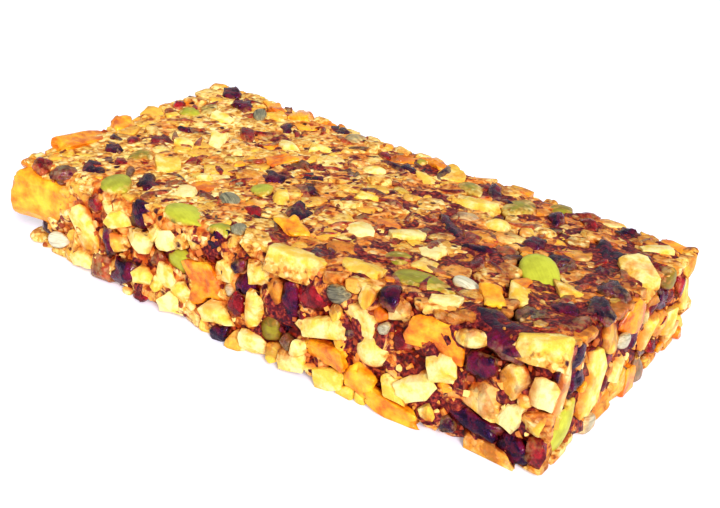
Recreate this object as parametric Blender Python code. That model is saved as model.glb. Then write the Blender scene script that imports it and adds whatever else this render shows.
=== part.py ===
"""Fruit and nut bar: one pressed, cut bar of chopped nuts, seeds and dried fruit.

Millimetres are used for the sizes below and turned into Blender's metres by MM. The bar lies along X
with its flat underside on Z = 0, and the middle of its outer box is over the origin. Its binder is a
slab with worn edges, a bowed front side and four unequal corner heights. Nuts, seeds and fruit are
sunk in it and fused to it by one union, and the pan that it was pressed in trims the result.
"""

import math
import random

import bmesh
import bpy
from mathutils import Matrix, Vector, noise

MM = 0.001

# Driving sizes of the bar, in millimetres
LENGTH = 102.0  # between the two cut ends
WIDTH = 51.0  # from the front side to the back side, at the ends of the bar
CORNER_HEIGHTS = {"front_left": 15.6, "front_right": 19.5, "back_left": 17.4, "back_right": 15.0}
LOWEST = min(CORNER_HEIGHTS.values())
BOW_TOP = 0.8  # how far the middle of the front side stands out, at the top edge
BOW_BOTTOM = 3.0  # and at the bottom edge
FRONT = -(WIDTH + BOW_BOTTOM) / 2  # y of the bowed front side's foremost line
EDGE = FRONT + BOW_BOTTOM  # y of the front side at the two ends
WORN = {"rise": 6.6, "along": 12.0, "across": 10.0}  # the lower left corner, crumbled away
PROUD_MOST = 0.5  # how far a piece may stand out of a face that it isn't set in
PAN = (LENGTH + 0.8, WIDTH + BOW_BOTTOM, 20.2)  # the box that trims what stands out

# The binder, in millimetres
BINDER_SINK = 0.9  # how far the binder lies below the outer faces
UNDER_SINK = -0.25  # negative: the pan presses the underside flat, but for its dips
EDGE_RADIUS = 1.8
BINDER_STEP = 5.4
BINDER_BUMP = 0.9
BUMP_SCALE = 0.16  # bumps for each millimetre
FISSURE = ((19.0, 41.5), (30.0, 27.5), (40.5, 7.0))  # a crack over the top: along, across
FISSURE_DEPTH = 1.7
FISSURE_REACH = 2.2

# How thick a piece is, as a share of its width, and how boxy it is (2 is an ellipsoid)
KINDS = {
    "nut": {"thick": 0.80, "power": 3.4, "points": 10, "uneven": 0.10},
    "cherry": {"thick": 0.70, "power": 2.2, "points": 10, "uneven": 0.12},
    "cranberry": {"thick": 0.75, "power": 2.2, "points": 10, "uneven": 0.12},
    "apricot": {"thick": 0.65, "power": 3.0, "points": 10, "uneven": 0.08},
    "pepita": {"thick": 0.45, "power": 2.0, "points": 14, "uneven": 0.02},
    "sunflower": {"thick": 0.60, "power": 2.0, "points": 12, "uneven": 0.02},
}
SEEDS = ("pepita", "sunflower")
SEED_TAPER = 0.35  # how much narrower a seed gets towards its pointed end
LEAN = 12.0  # the most that a piece tips out of its face, in degrees
PROUD_FLAT = (-0.1, 0.4)  # how far a piece stands out of the pressed top and the underside
PROUD_CUT = (-0.2, 0.7)  # and out of a cut side

# The pieces that show best on each face: kind, two places on the face, length, width and turn in
# degrees. Along is measured from the bar's middle, across from its front edge, up from its underside.
TOP = (  # kind, along, across, length, width, turn
    ("cherry", -45.0, 48.0, 5.5, 3.5, -40),
    ("cherry", -40.0, 44.5, 6.0, 4.0, -50),
    ("cherry", -26.5, 42.0, 6.0, 3.2, -50),
    ("cherry", -18.5, 48.0, 4.5, 2.5, -20),
    ("cherry", -39.0, 28.0, 3.0, 2.8, 0),
    ("cherry", -14.0, 22.5, 7.0, 4.0, -35),
    ("cherry", -6.5, 22.5, 6.0, 3.0, -15),
    ("cherry", 0.5, 42.5, 6.0, 4.0, -55),
    ("cherry", -42.0, 13.5, 4.0, 3.0, -30),
    ("cherry", -38.0, 5.0, 6.0, 4.0, -35),
    ("cherry", -27.0, 6.5, 7.0, 4.5, -40),
    ("cherry", -1.5, 14.0, 6.0, 4.5, -60),
    ("cherry", 10.5, 4.0, 6.0, 3.5, -40),
    ("cherry", 16.5, 45.0, 6.0, 2.5, -60),
    ("cherry", 29.0, 43.0, 4.5, 3.0, -60),
    ("cherry", 31.5, 31.5, 5.0, 3.2, -80),
    ("cherry", 36.5, 28.0, 6.0, 4.0, 30),
    ("cherry", 41.0, 37.0, 8.0, 5.5, -60),
    ("cherry", 46.0, 25.0, 9.0, 4.5, -45),
    ("cherry", 49.0, 17.0, 7.0, 3.5, -65),
    ("cherry", 45.5, 13.5, 5.0, 4.0, 20),
    ("cherry", 19.0, 26.5, 10.0, 3.0, -38),
    ("cherry", 26.5, 22.5, 5.0, 3.0, 10),
    ("cherry", 25.0, 0.8, 4.5, 4.0, -45),
    ("cherry", 41.0, 3.2, 11.0, 6.0, -25),
    ("cherry", 39.5, 48.0, 4.5, 4.0, 80),
    ("cranberry", -48.0, 36.0, 4.0, 2.5, -60),
    ("cranberry", -29.5, 34.0, 7.0, 2.6, -45),
    ("cranberry", -6.0, 44.5, 4.0, 2.0, -40),
    ("cranberry", -42.0, 18.0, 4.0, 2.4, -55),
    ("cranberry", -7.0, 9.5, 4.5, 3.2, -40),
    ("cranberry", -28.0, 18.5, 3.2, 3.0, 0),
    ("cranberry", 46.5, 39.5, 4.0, 2.5, -60),
    ("cranberry", 29.0, 17.5, 5.0, 2.2, -70),
    ("cranberry", -46.5, 1.2, 4.5, 3.2, -45),
    ("cranberry", 34.0, 45.5, 5.0, 3.0, -50),
    ("cranberry", -36.5, 9.5, 4.0, 2.5, -40),
    ("pepita", -30.5, 3.0, 8.5, 5.0, -25),
    ("pepita", -14.0, 2.2, 9.5, 5.5, -15),
    ("pepita", 26.0, 7.2, 12.0, 6.5, -8),
    ("pepita", 37.5, 21.5, 10.5, 5.5, -45),
    ("pepita", 22.0, 44.0, 10.0, 5.5, 100),
    ("pepita", 13.0, 43.0, 7.5, 3.8, -40),
    ("pepita", -43.0, 38.5, 7.0, 4.0, -40),
    ("pepita", -11.5, 16.8, 6.5, 3.8, -50),
    ("sunflower", 31.5, 10.5, 5.0, 2.8, 0),
    ("sunflower", -4.0, 2.5, 5.0, 2.6, -40),
    ("sunflower", -12.0, 10.0, 5.0, 3.4, -20),
    ("sunflower", -33.5, 42.5, 5.0, 2.6, -50),
    ("nut", -29.5, 13.5, 5.5, 4.2, -40),
    ("nut", -22.5, 14.5, 4.5, 3.2, -30),
    ("nut", -19.5, 7.5, 4.5, 3.4, 0),
    ("nut", -6.5, 15.5, 4.5, 3.2, -40),
    ("nut", -3.5, 37.5, 5.5, 4.5, 20),
    ("nut", 5.5, 41.0, 6.0, 4.5, -60),
    ("nut", 18.0, 37.5, 7.5, 5.0, -10),
    ("nut", 23.5, 33.0, 5.0, 4.5, 30),
    ("nut", 48.0, 33.0, 9.5, 4.6, -50),
    ("nut", 43.0, 19.5, 6.5, 3.8, -52),
    ("nut", 38.5, 13.0, 5.0, 3.5, -60),
    ("nut", 15.5, 19.0, 5.5, 4.0, 40),
    ("nut", 21.5, 16.5, 5.0, 4.0, 0),
    ("nut", 17.0, 5.0, 8.0, 6.0, 10),
    ("nut", 8.5, 0.4, 9.0, 5.2, 12),
    ("nut", 48.5, 1.5, 7.0, 6.4, 15),
    ("nut", 32.0, 3.6, 4.5, 3.5, 20),
    ("nut", -30.5, 27.5, 6.0, 4.0, -40),
    ("nut", -34.5, 23.0, 4.0, 3.0, 20),
    ("nut", 9.5, 14.5, 6.0, 4.5, -50),
    ("nut", -20.5, 34.5, 4.5, 3.5, -30),
    ("nut", -16.0, 39.0, 6.5, 4.5, -55),
    ("nut", -37.5, 36.5, 4.5, 3.5, 0),
    ("nut", 45.5, 45.5, 5.0, 4.0, 30),
    ("nut", 2.5, 27.0, 5.0, 3.6, 0),
    ("apricot", -49.0, 13.5, 13.0, 4.4, 88),
    ("apricot", -28.5, 49.0, 6.5, 4.5, -60),
    ("apricot", 36.0, 9.0, 5.0, 3.0, -50),
    ("apricot", 1.5, 8.5, 5.0, 3.5, -30),
    ("apricot", 2.5, 48.5, 6.0, 3.5, -25),
    ("apricot", -34.5, 48.0, 5.0, 3.2, -40),
)
FRONT_SIDE = (  # kind, along, up, length, width, turn
    ("apricot", -45.5, 9.6, 14.0, 8.5, -8),
    ("apricot", -8.2, 8.5, 6.4, 5.6, -70),
    ("apricot", 32.8, 14.6, 8.0, 5.0, -5),
    ("apricot", 27.5, 1.4, 9.5, 3.0, -5),
    ("apricot", 16.5, 5.8, 7.5, 3.2, 10),
    ("apricot", 22.6, 3.8, 4.5, 4.0, 60),
    ("cranberry", -32.6, 13.2, 3.4, 3.0, 30),
    ("cranberry", -0.6, 7.2, 4.2, 3.2, 80),
    ("cranberry", 13.0, 13.2, 6.5, 5.0, 20),
    ("cranberry", 28.2, 12.0, 5.0, 4.0, 0),
    ("cherry", -28.6, 7.8, 5.5, 2.8, 80),
    ("cherry", -25.2, 3.4, 6.0, 5.0, 20),
    ("cherry", 8.6, 9.8, 8.5, 3.2, 85),
    ("cherry", 40.2, 13.2, 4.6, 3.8, 20),
    ("cherry", 40.5, 4.0, 9.0, 3.8, -8),
    ("cherry", 46.2, 2.8, 5.5, 4.0, -20),
    ("sunflower", -41.4, 3.4, 5.0, 2.8, 10),
    ("sunflower", 17.2, 15.4, 4.6, 3.0, 20),
    ("nut", -34.6, 7.8, 8.5, 5.4, -58),
    ("nut", -26.8, 12.2, 5.0, 3.2, 20),
    ("nut", -21.6, 10.4, 7.0, 4.0, 18),
    ("nut", -15.8, 12.4, 4.5, 3.2, 20),
    ("nut", -15.2, 6.6, 4.5, 3.4, 0),
    ("nut", -13.8, 2.4, 5.5, 4.0, 0),
    ("nut", -3.8, 11.6, 5.0, 3.4, 20),
    ("nut", -4.6, 4.2, 6.5, 4.2, 10),
    ("nut", 3.0, 8.0, 5.4, 2.8, 88),
    ("nut", 2.6, 13.4, 4.4, 3.6, 0),
    ("nut", 20.8, 13.4, 6.4, 5.0, -15),
    ("nut", 26.8, 16.4, 4.4, 3.4, 0),
    ("nut", 23.6, 8.6, 6.4, 5.0, 20),
    ("nut", 38.4, 16.6, 5.4, 2.8, 15),
    ("nut", 34.4, 10.4, 5.4, 4.2, 10),
    ("nut", 31.4, 6.4, 6.0, 3.8, 28),
    ("nut", 28.0, 4.4, 5.2, 4.0, -45),
    ("nut", 33.6, 2.0, 4.2, 3.4, -50),
    ("nut", 40.6, 8.6, 7.5, 5.0, -8),
    ("nut", 45.4, 7.6, 4.4, 3.4, 80),
    ("nut", 45.0, 13.0, 5.0, 4.6, 0),
    ("nut", 49.4, 12.6, 5.6, 3.6, 80),
    ("nut", 43.4, 0.9, 8.0, 2.6, 0),
    ("nut", 17.6, 2.0, 6.0, 3.2, 20),
    ("nut", 10.6, 2.4, 5.0, 3.2, 10),
    ("nut", 14.6, 9.2, 9.0, 3.2, 22),
    ("nut", -20.2, 4.6, 5.0, 3.2, 10),
    ("nut", -35.2, 2.2, 5.0, 3.0, 10),
    ("nut", 3.4, 2.2, 5.0, 3.4, 0),
)
END_SIDE = (  # kind, across, up, length, width, turn
    ("nut", 3.2, 13.0, 7.5, 3.4, 85),
    ("nut", 13.5, 8.4, 9.5, 6.0, 75),
    ("nut", 23.5, 6.6, 5.5, 5.0, 60),
    ("nut", 33.5, 6.6, 8.0, 5.5, 80),
    ("nut", 42.5, 5.6, 4.8, 4.2, 80),
    ("nut", 48.6, 9.6, 8.0, 4.0, 85),
    ("pepita", 5.4, 5.6, 8.5, 5.0, 55),
    ("cherry", 7.8, 11.4, 5.0, 4.0, 0),
    ("cherry", 37.6, 11.6, 6.0, 3.6, -30),
    ("cherry", 27.8, 9.4, 4.4, 3.2, 80),
    ("cranberry", 18.5, 5.6, 3.6, 2.6, -30),
    ("cranberry", 44.4, 11.4, 4.2, 2.6, 85),
)

# The rest of each face is filled on a grid of this step, by a rule with a seeded draw
FILL_SEED = 20
FILL_STEPS = {"top": 5.7, "front": 4.4, "end": 4.7, "back": 5.2, "left": 5.0, "under": 10.5}
FILL_SHARES = (
    ("nut", 0.60),
    ("cherry", 0.14),
    ("cranberry", 0.08),
    ("apricot", 0.08),
    ("sunflower", 0.05),
    ("pepita", 0.05),
)
FILL_LENGTH = (3.6, 5.8)
FILL_SLIMNESS = (0.55, 0.85)  # a filling piece's width, as a share of its length
FILL_JITTER = 0.3  # of a grid cell
FILL_CLEARANCE = 1.6  # between a listed piece's end and the middle of a filling piece

BAR_COLOUR = (0.86, 0.66, 0.30)
BAR_ROUGHNESS = 0.45


def clamp(value, low, high):
    """The value, kept between two others."""
    return max(low, min(high, value))


def bar_height(along, across):
    """Height of the top face, between the four corner heights."""
    u = along / LENGTH + 0.5
    v = across / WIDTH
    front = CORNER_HEIGHTS["front_left"] * (1 - u) + CORNER_HEIGHTS["front_right"] * u
    back = CORNER_HEIGHTS["back_left"] * (1 - u) + CORNER_HEIGHTS["back_right"] * u
    return front * (1 - v) + back * v


def front_bow(along, up):
    """How far the front side stands out in front of a straight cut."""
    share = max(0.0, 1.0 - (2.0 * along / LENGTH) ** 2)
    height = clamp(up / bar_height(along, 0.0), 0.0, 1.0)
    return share * (BOW_BOTTOM * (1 - height) + BOW_TOP * height)


def worn_height(along, across):
    """How far the crumbled corner has taken the underside up."""
    away = math.hypot((along + LENGTH / 2) / WORN["along"], max(0.0, across) / WORN["across"])
    return WORN["rise"] * max(0.0, 1.0 - away)


def face_frame(face, first, second):
    """Point, outward normal and first direction at a place on one of the bar's outer faces."""
    if face == "top":
        return Vector((first, EDGE + second, bar_height(first, second))), Vector((0, 0, 1)), Vector((1, 0, 0))
    if face == "under":
        return Vector((first, EDGE + second, 0)), Vector((0, 0, -1)), Vector((1, 0, 0))
    if face == "front":
        front = EDGE - front_bow(first, second)
        return Vector((first, front, second)), Vector((0, -1, 0)), Vector((1, 0, 0))
    if face == "back":
        return Vector((first, EDGE + WIDTH, second)), Vector((0, 1, 0)), Vector((-1, 0, 0))
    side = 1 if face == "end" else -1
    return Vector((side * LENGTH / 2, EDGE + first, second)), Vector((side, 0, 0)), Vector((0, side, 0))


def piece_points(kind, length, width, draw):
    """Points of a chopped nut, a seed or a bit of fruit, spread over a boxy and uneven ellipsoid."""
    form = KINDS[kind]
    half = Vector((length, width, width * form["thick"])) / 2
    golden = math.pi * (3 - math.sqrt(5))
    start = draw.uniform(0, 2 * math.pi)
    points = []
    for i in range(form["points"]):
        z = 1 - 2 * (i + 0.5) / form["points"]
        angle = start + i * golden
        ring = math.sqrt(1 - z * z)
        ray = Vector((ring * math.cos(angle), ring * math.sin(angle), z))
        size = sum(abs(c) ** form["power"] for c in ray) ** (-1 / form["power"])
        point = ray * size * (1 + draw.uniform(-1, 1) * form["uneven"])
        if kind in SEEDS:
            point.y *= 1 - SEED_TAPER * point.x
        points.append(Vector((point.x * half.x, point.y * half.y, point.z * half.z)))
    return points


def pull_in(points):
    """Moves a piece back where it stands further than PROUD_MOST out of one of the bar's faces."""
    middle = sum(points, Vector()) / len(points)
    across = middle.y - EDGE
    low = Vector((-LENGTH / 2, EDGE - front_bow(middle.x, middle.z), worn_height(middle.x, across)))
    high = Vector((LENGTH / 2, EDGE + WIDTH, bar_height(middle.x, across)))
    shift = Vector()
    for axis in range(3):
        over = max(p[axis] for p in points) - high[axis] - PROUD_MOST
        under = low[axis] - PROUD_MOST - min(p[axis] for p in points)
        shift[axis] = max(0.0, under) - max(0.0, over)
    return [p + shift for p in points]


def add_piece(pieces, face, kind, place, size, turn, draw):
    """Adds one closed piece to the collection, sunk in the binder with its outer side near the face."""
    origin, normal, first = face_frame(face, *place)
    proud = draw.uniform(*(PROUD_FLAT if face in ("top", "under") else PROUD_CUT))
    centre = origin + normal * (proud - size[1] * KINDS[kind]["thick"] / 2)
    basis = Matrix((first, normal.cross(first), normal)).transposed().to_4x4()
    lean = math.radians(LEAN)
    tip = Matrix.Rotation(draw.uniform(-lean, lean), 4, "X")
    tip = tip @ Matrix.Rotation(draw.uniform(-lean, lean), 4, "Y")
    matrix = Matrix.Translation(centre) @ basis @ Matrix.Rotation(math.radians(turn), 4, "Z") @ tip
    bm = bmesh.new()
    for point in pull_in([matrix @ p for p in piece_points(kind, *size, draw)]):
        bm.verts.new(point * MM)
    bmesh.ops.convex_hull(bm, input=bm.verts)
    bmesh.ops.recalc_face_normals(bm, faces=bm.faces)
    mesh = bpy.data.meshes.new(kind)
    bm.to_mesh(mesh)
    bm.free()
    pieces.objects.link(bpy.data.objects.new(kind, mesh))


def is_worn(face, first, second):
    """Whether a place on a face lies where the corner has crumbled away."""
    if face == "front":
        return second < worn_height(first, 0.0) + FILL_CLEARANCE
    if face == "left":
        return second < worn_height(-LENGTH / 2, first) + FILL_CLEARANCE
    return face == "under" and worn_height(first, second) > 0


def fill_places(face, taken, draw):
    """Places on a jittered grid over a face that are clear of the pieces already there."""
    is_end = face in ("end", "left")
    wide = WIDTH if is_end else LENGTH
    start = 0.0 if is_end else -LENGTH / 2
    tall = WIDTH if face in ("top", "under") else LOWEST
    columns = int(wide / FILL_STEPS[face])
    rows = int(tall / FILL_STEPS[face])
    places = []
    for column in range(columns):
        for row in range(rows):
            first = start + wide * (column + 0.5 + draw.uniform(-FILL_JITTER, FILL_JITTER)) / columns
            second = tall * (row + 0.5 + draw.uniform(-FILL_JITTER, FILL_JITTER)) / rows
            near = [t for t in taken if math.hypot(t[0] - first, t[1] - second) < t[2]]
            if not near and not is_worn(face, first, second):
                places.append((first, second))
    return places


def fill_kind(draw):
    """One kind of piece, drawn by the shares of the mix."""
    level = draw.random()
    for kind, share in FILL_SHARES:
        level -= share
        if level < 0:
            return kind
    return FILL_SHARES[0][0]


def add_all_pieces(pieces):
    """The pieces that show best, then the seeded fill, face by face."""
    draw = random.Random(FILL_SEED)
    shown = {"top": TOP, "front": FRONT_SIDE, "end": END_SIDE}
    for face in FILL_STEPS:
        taken = []
        for kind, first, second, length, width, turn in shown.get(face, ()):
            add_piece(pieces, face, kind, (first, second), (length, width), turn, draw)
            taken.append((first, second, length / 2 + FILL_CLEARANCE))
        for place in fill_places(face, taken, draw):
            kind = fill_kind(draw)
            length = draw.uniform(*FILL_LENGTH)
            size = (length, length * draw.uniform(*FILL_SLIMNESS))
            add_piece(pieces, face, kind, place, size, draw.uniform(0, 180), draw)


def fissure_depth(along, across):
    """Depth of the crack over the top at a place on it."""
    place = Vector((along, across))
    gap = FISSURE_REACH
    for start, stop in zip(FISSURE, FISSURE[1:]):
        a, b = Vector(start), Vector(stop)
        share = clamp((place - a).dot(b - a) / (b - a).length_squared, 0.0, 1.0)
        gap = min(gap, (place - a.lerp(b, share)).length)
    return FISSURE_DEPTH * (1 - gap / FISSURE_REACH)


def binder_point(point):
    """Where a point of the plain unit slab lies on the worn, bowed and bumpy binder."""
    half = Vector((LENGTH, WIDTH, LOWEST)) / 2 - Vector((BINDER_SINK,) * 3)
    full = Vector([2 * c * h for c, h in zip(point, half)])
    inner = Vector([clamp(c, EDGE_RADIUS - h, h - EDGE_RADIUS) for c, h in zip(full, half)])
    out = (full - inner).normalized()
    rounded = inner + out * EDGE_RADIUS
    along, across = rounded.x, rounded.y + WIDTH / 2
    low = UNDER_SINK + worn_height(along, across)
    high = bar_height(along, across) - BINDER_SINK
    up = low + (high - low) * (rounded.z / (2 * half.z) + 0.5)
    bow = front_bow(along, up) * (1 - across / WIDTH)
    bump = noise.noise(Vector((along, across, up)) * BUMP_SCALE) * BINDER_BUMP
    placed = Vector((along, EDGE + across - bow, up)) + out * bump
    if out.z > 0.5:
        placed.z -= fissure_depth(along, across)
    return placed


def make_binder():
    """The slab of binder, cut into even steps and shaped point by point."""
    bm = bmesh.new()
    bmesh.ops.create_cube(bm, size=1.0)
    for axis, size in enumerate((LENGTH, WIDTH, LOWEST)):
        steps = max(3, round(size / BINDER_STEP))
        normal = Vector([float(i == axis) for i in range(3)])
        for i in range(1, steps):
            parts = [*bm.verts, *bm.edges, *bm.faces]
            bmesh.ops.bisect_plane(bm, geom=parts, plane_co=normal * (i / steps - 0.5), plane_no=normal)
    for vertex in bm.verts:
        vertex.co = binder_point(vertex.co) * MM
    bmesh.ops.triangulate(bm, faces=bm.faces)
    bmesh.ops.recalc_face_normals(bm, faces=bm.faces)
    mesh = bpy.data.meshes.new("fruit_nut_bar")
    bm.to_mesh(mesh)
    bm.free()
    bar = bpy.data.objects.new("fruit_nut_bar", mesh)
    bpy.context.scene.collection.objects.link(bar)
    return bar


def apply_boolean(target, operation, solver, other=None, collection=None):
    """Applies one Boolean to the target's mesh."""
    modifier = target.modifiers.new(operation.lower(), "BOOLEAN")
    modifier.operation = operation
    modifier.solver = solver
    if collection:
        modifier.operand_type = "COLLECTION"
        modifier.collection = collection
    else:
        modifier.object = other
    graph = bpy.context.evaluated_depsgraph_get()
    made = bpy.data.meshes.new_from_object(target.evaluated_get(graph))
    target.modifiers.remove(modifier)
    target.data = made


def trim_to_pan(bar):
    """Cuts off what stands past the pan's inside, so that the underside is flat where pieces meet it."""
    bm = bmesh.new()
    bmesh.ops.create_cube(bm, size=1.0)
    pan = bpy.data.meshes.new("pan")
    bm.to_mesh(pan)
    bm.free()
    box = bpy.data.objects.new("pan", pan)
    bpy.context.scene.collection.objects.link(box)
    size = Vector(PAN) * MM
    pan.transform(Matrix.Translation((0, 0, size.z / 2)) @ Matrix.Diagonal((*size, 1)))
    apply_boolean(bar, "INTERSECT", "MANIFOLD", other=box)
    bpy.data.objects.remove(box)


def surface_bodies(bm):
    """The mesh's separate surfaces, each as a list of vertices, the largest last."""
    seen = set()
    bodies = []
    for vertex in bm.verts:
        if vertex in seen:
            continue
        seen.add(vertex)
        body, waiting = [], [vertex]
        while waiting:
            current = waiting.pop()
            body.append(current)
            for other in [edge.other_vert(current) for edge in current.link_edges]:
                if other not in seen:
                    seen.add(other)
                    waiting.append(other)
        bodies.append(body)
    return sorted(bodies, key=len)


def keep_one_body(bar):
    """Keeps the bar's own surface: drops loose scraps and the walls of sealed hollows, which fills them."""
    bm = bmesh.new()
    bm.from_mesh(bar.data)
    for body in surface_bodies(bm)[:-1]:
        bmesh.ops.delete(bm, geom=body, context="VERTS")
    bmesh.ops.triangulate(bm, faces=bm.faces)
    bm.to_mesh(bar.data)
    bm.free()


def colour(bar):
    """One warm colour for the pressed mix of nut, fruit and binder."""
    material = bpy.data.materials.new("pressed_nut_and_fruit")
    material.use_nodes = True
    shader = material.node_tree.nodes["Principled BSDF"]
    shader.inputs["Base Color"].default_value = (*BAR_COLOUR, 1)
    shader.inputs["Roughness"].default_value = BAR_ROUGHNESS
    bar.data.materials.clear()
    bar.data.materials.append(material)


def main():
    """Builds the bar."""
    for obj in list(bpy.data.objects):
        bpy.data.objects.remove(obj)
    bar = make_binder()
    pieces = bpy.data.collections.new("pieces")
    bpy.context.scene.collection.children.link(pieces)
    add_all_pieces(pieces)
    apply_boolean(bar, "UNION", "EXACT", collection=pieces)
    for obj in list(pieces.objects):
        bpy.data.objects.remove(obj)
    bpy.data.collections.remove(pieces)
    trim_to_pan(bar)
    keep_one_body(bar)
    colour(bar)


main()
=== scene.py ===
"""Fruit and nut bar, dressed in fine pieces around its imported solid.

One pressed and knife-cut bar of chopped nuts, pumpkin and sunflower seeds, dried cherries, cranberries
and apricot in a caramel-coloured binder. The solid's form, its list of shown pieces and its seeded fill
are repeated here, so that each dressed piece lies where the solid has it. Chips then fill the room
between them, and shreds and crumbs lie on what carries them. Sizes are millimetres, and MM turns them
into metres.
"""

import logging
import math
import random
from dataclasses import dataclass
from enum import Enum
from functools import reduce
from typing import Callable, Sequence

import bmesh
import bpy
import numpy as np
from mathutils import Matrix, Vector, noise
from mathutils.bvhtree import BVHTree
from mathutils.kdtree import KDTree

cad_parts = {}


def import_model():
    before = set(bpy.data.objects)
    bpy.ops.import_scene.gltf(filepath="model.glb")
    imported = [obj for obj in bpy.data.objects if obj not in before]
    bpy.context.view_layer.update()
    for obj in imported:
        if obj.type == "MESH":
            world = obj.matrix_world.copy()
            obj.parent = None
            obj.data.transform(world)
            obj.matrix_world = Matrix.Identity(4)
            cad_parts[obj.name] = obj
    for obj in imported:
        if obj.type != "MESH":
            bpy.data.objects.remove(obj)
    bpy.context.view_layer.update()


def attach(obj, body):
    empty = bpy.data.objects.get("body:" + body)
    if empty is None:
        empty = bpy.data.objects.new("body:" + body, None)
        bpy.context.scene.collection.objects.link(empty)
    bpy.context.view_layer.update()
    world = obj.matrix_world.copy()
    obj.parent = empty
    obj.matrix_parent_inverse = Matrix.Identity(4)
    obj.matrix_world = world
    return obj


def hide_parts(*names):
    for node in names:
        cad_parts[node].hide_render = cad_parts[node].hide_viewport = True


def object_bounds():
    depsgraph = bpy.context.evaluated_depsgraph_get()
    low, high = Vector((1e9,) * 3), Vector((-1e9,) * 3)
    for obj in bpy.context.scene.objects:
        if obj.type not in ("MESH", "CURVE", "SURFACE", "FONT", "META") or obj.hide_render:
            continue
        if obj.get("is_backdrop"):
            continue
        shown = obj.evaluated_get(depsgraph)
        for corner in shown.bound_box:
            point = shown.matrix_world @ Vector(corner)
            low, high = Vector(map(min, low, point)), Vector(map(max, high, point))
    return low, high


LOG = logging.getLogger("fruit_nut_bar")
MM = 0.001
NODE = "fruit_nut_bar"
BODY = "root"

Socket = bpy.types.NodeSocket
Colour = tuple[float, float, float]
Value = Socket | float | Colour
Inputs = dict[str | int, object]
Stops = tuple[tuple[float, Colour], ...]
Tone = tuple[float, float, float, float]
Pair = tuple[float, float]
Site = tuple[Vector, float]
Objects = list[bpy.types.Object]


class Kind(Enum):
    """What a piece of the mix is."""

    NUT = "nut"
    CHERRY = "cherry"
    CRANBERRY = "cranberry"
    APRICOT = "apricot"
    PEPITA = "pepita"
    SUNFLOWER = "sunflower"


class Face(Enum):
    """One of the bar's six outer faces."""

    TOP = "top"
    FRONT = "front"
    END = "end"
    BACK = "back"
    LEFT = "left"
    UNDER = "under"


PRESSED = (Face.TOP, Face.UNDER)
ENDS = (Face.END, Face.LEFT)
BERRIES = (Kind.CHERRY, Kind.CRANBERRY)
SEEDS = (Kind.PEPITA, Kind.SUNFLOWER)
Shares = dict[Kind, float]


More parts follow.
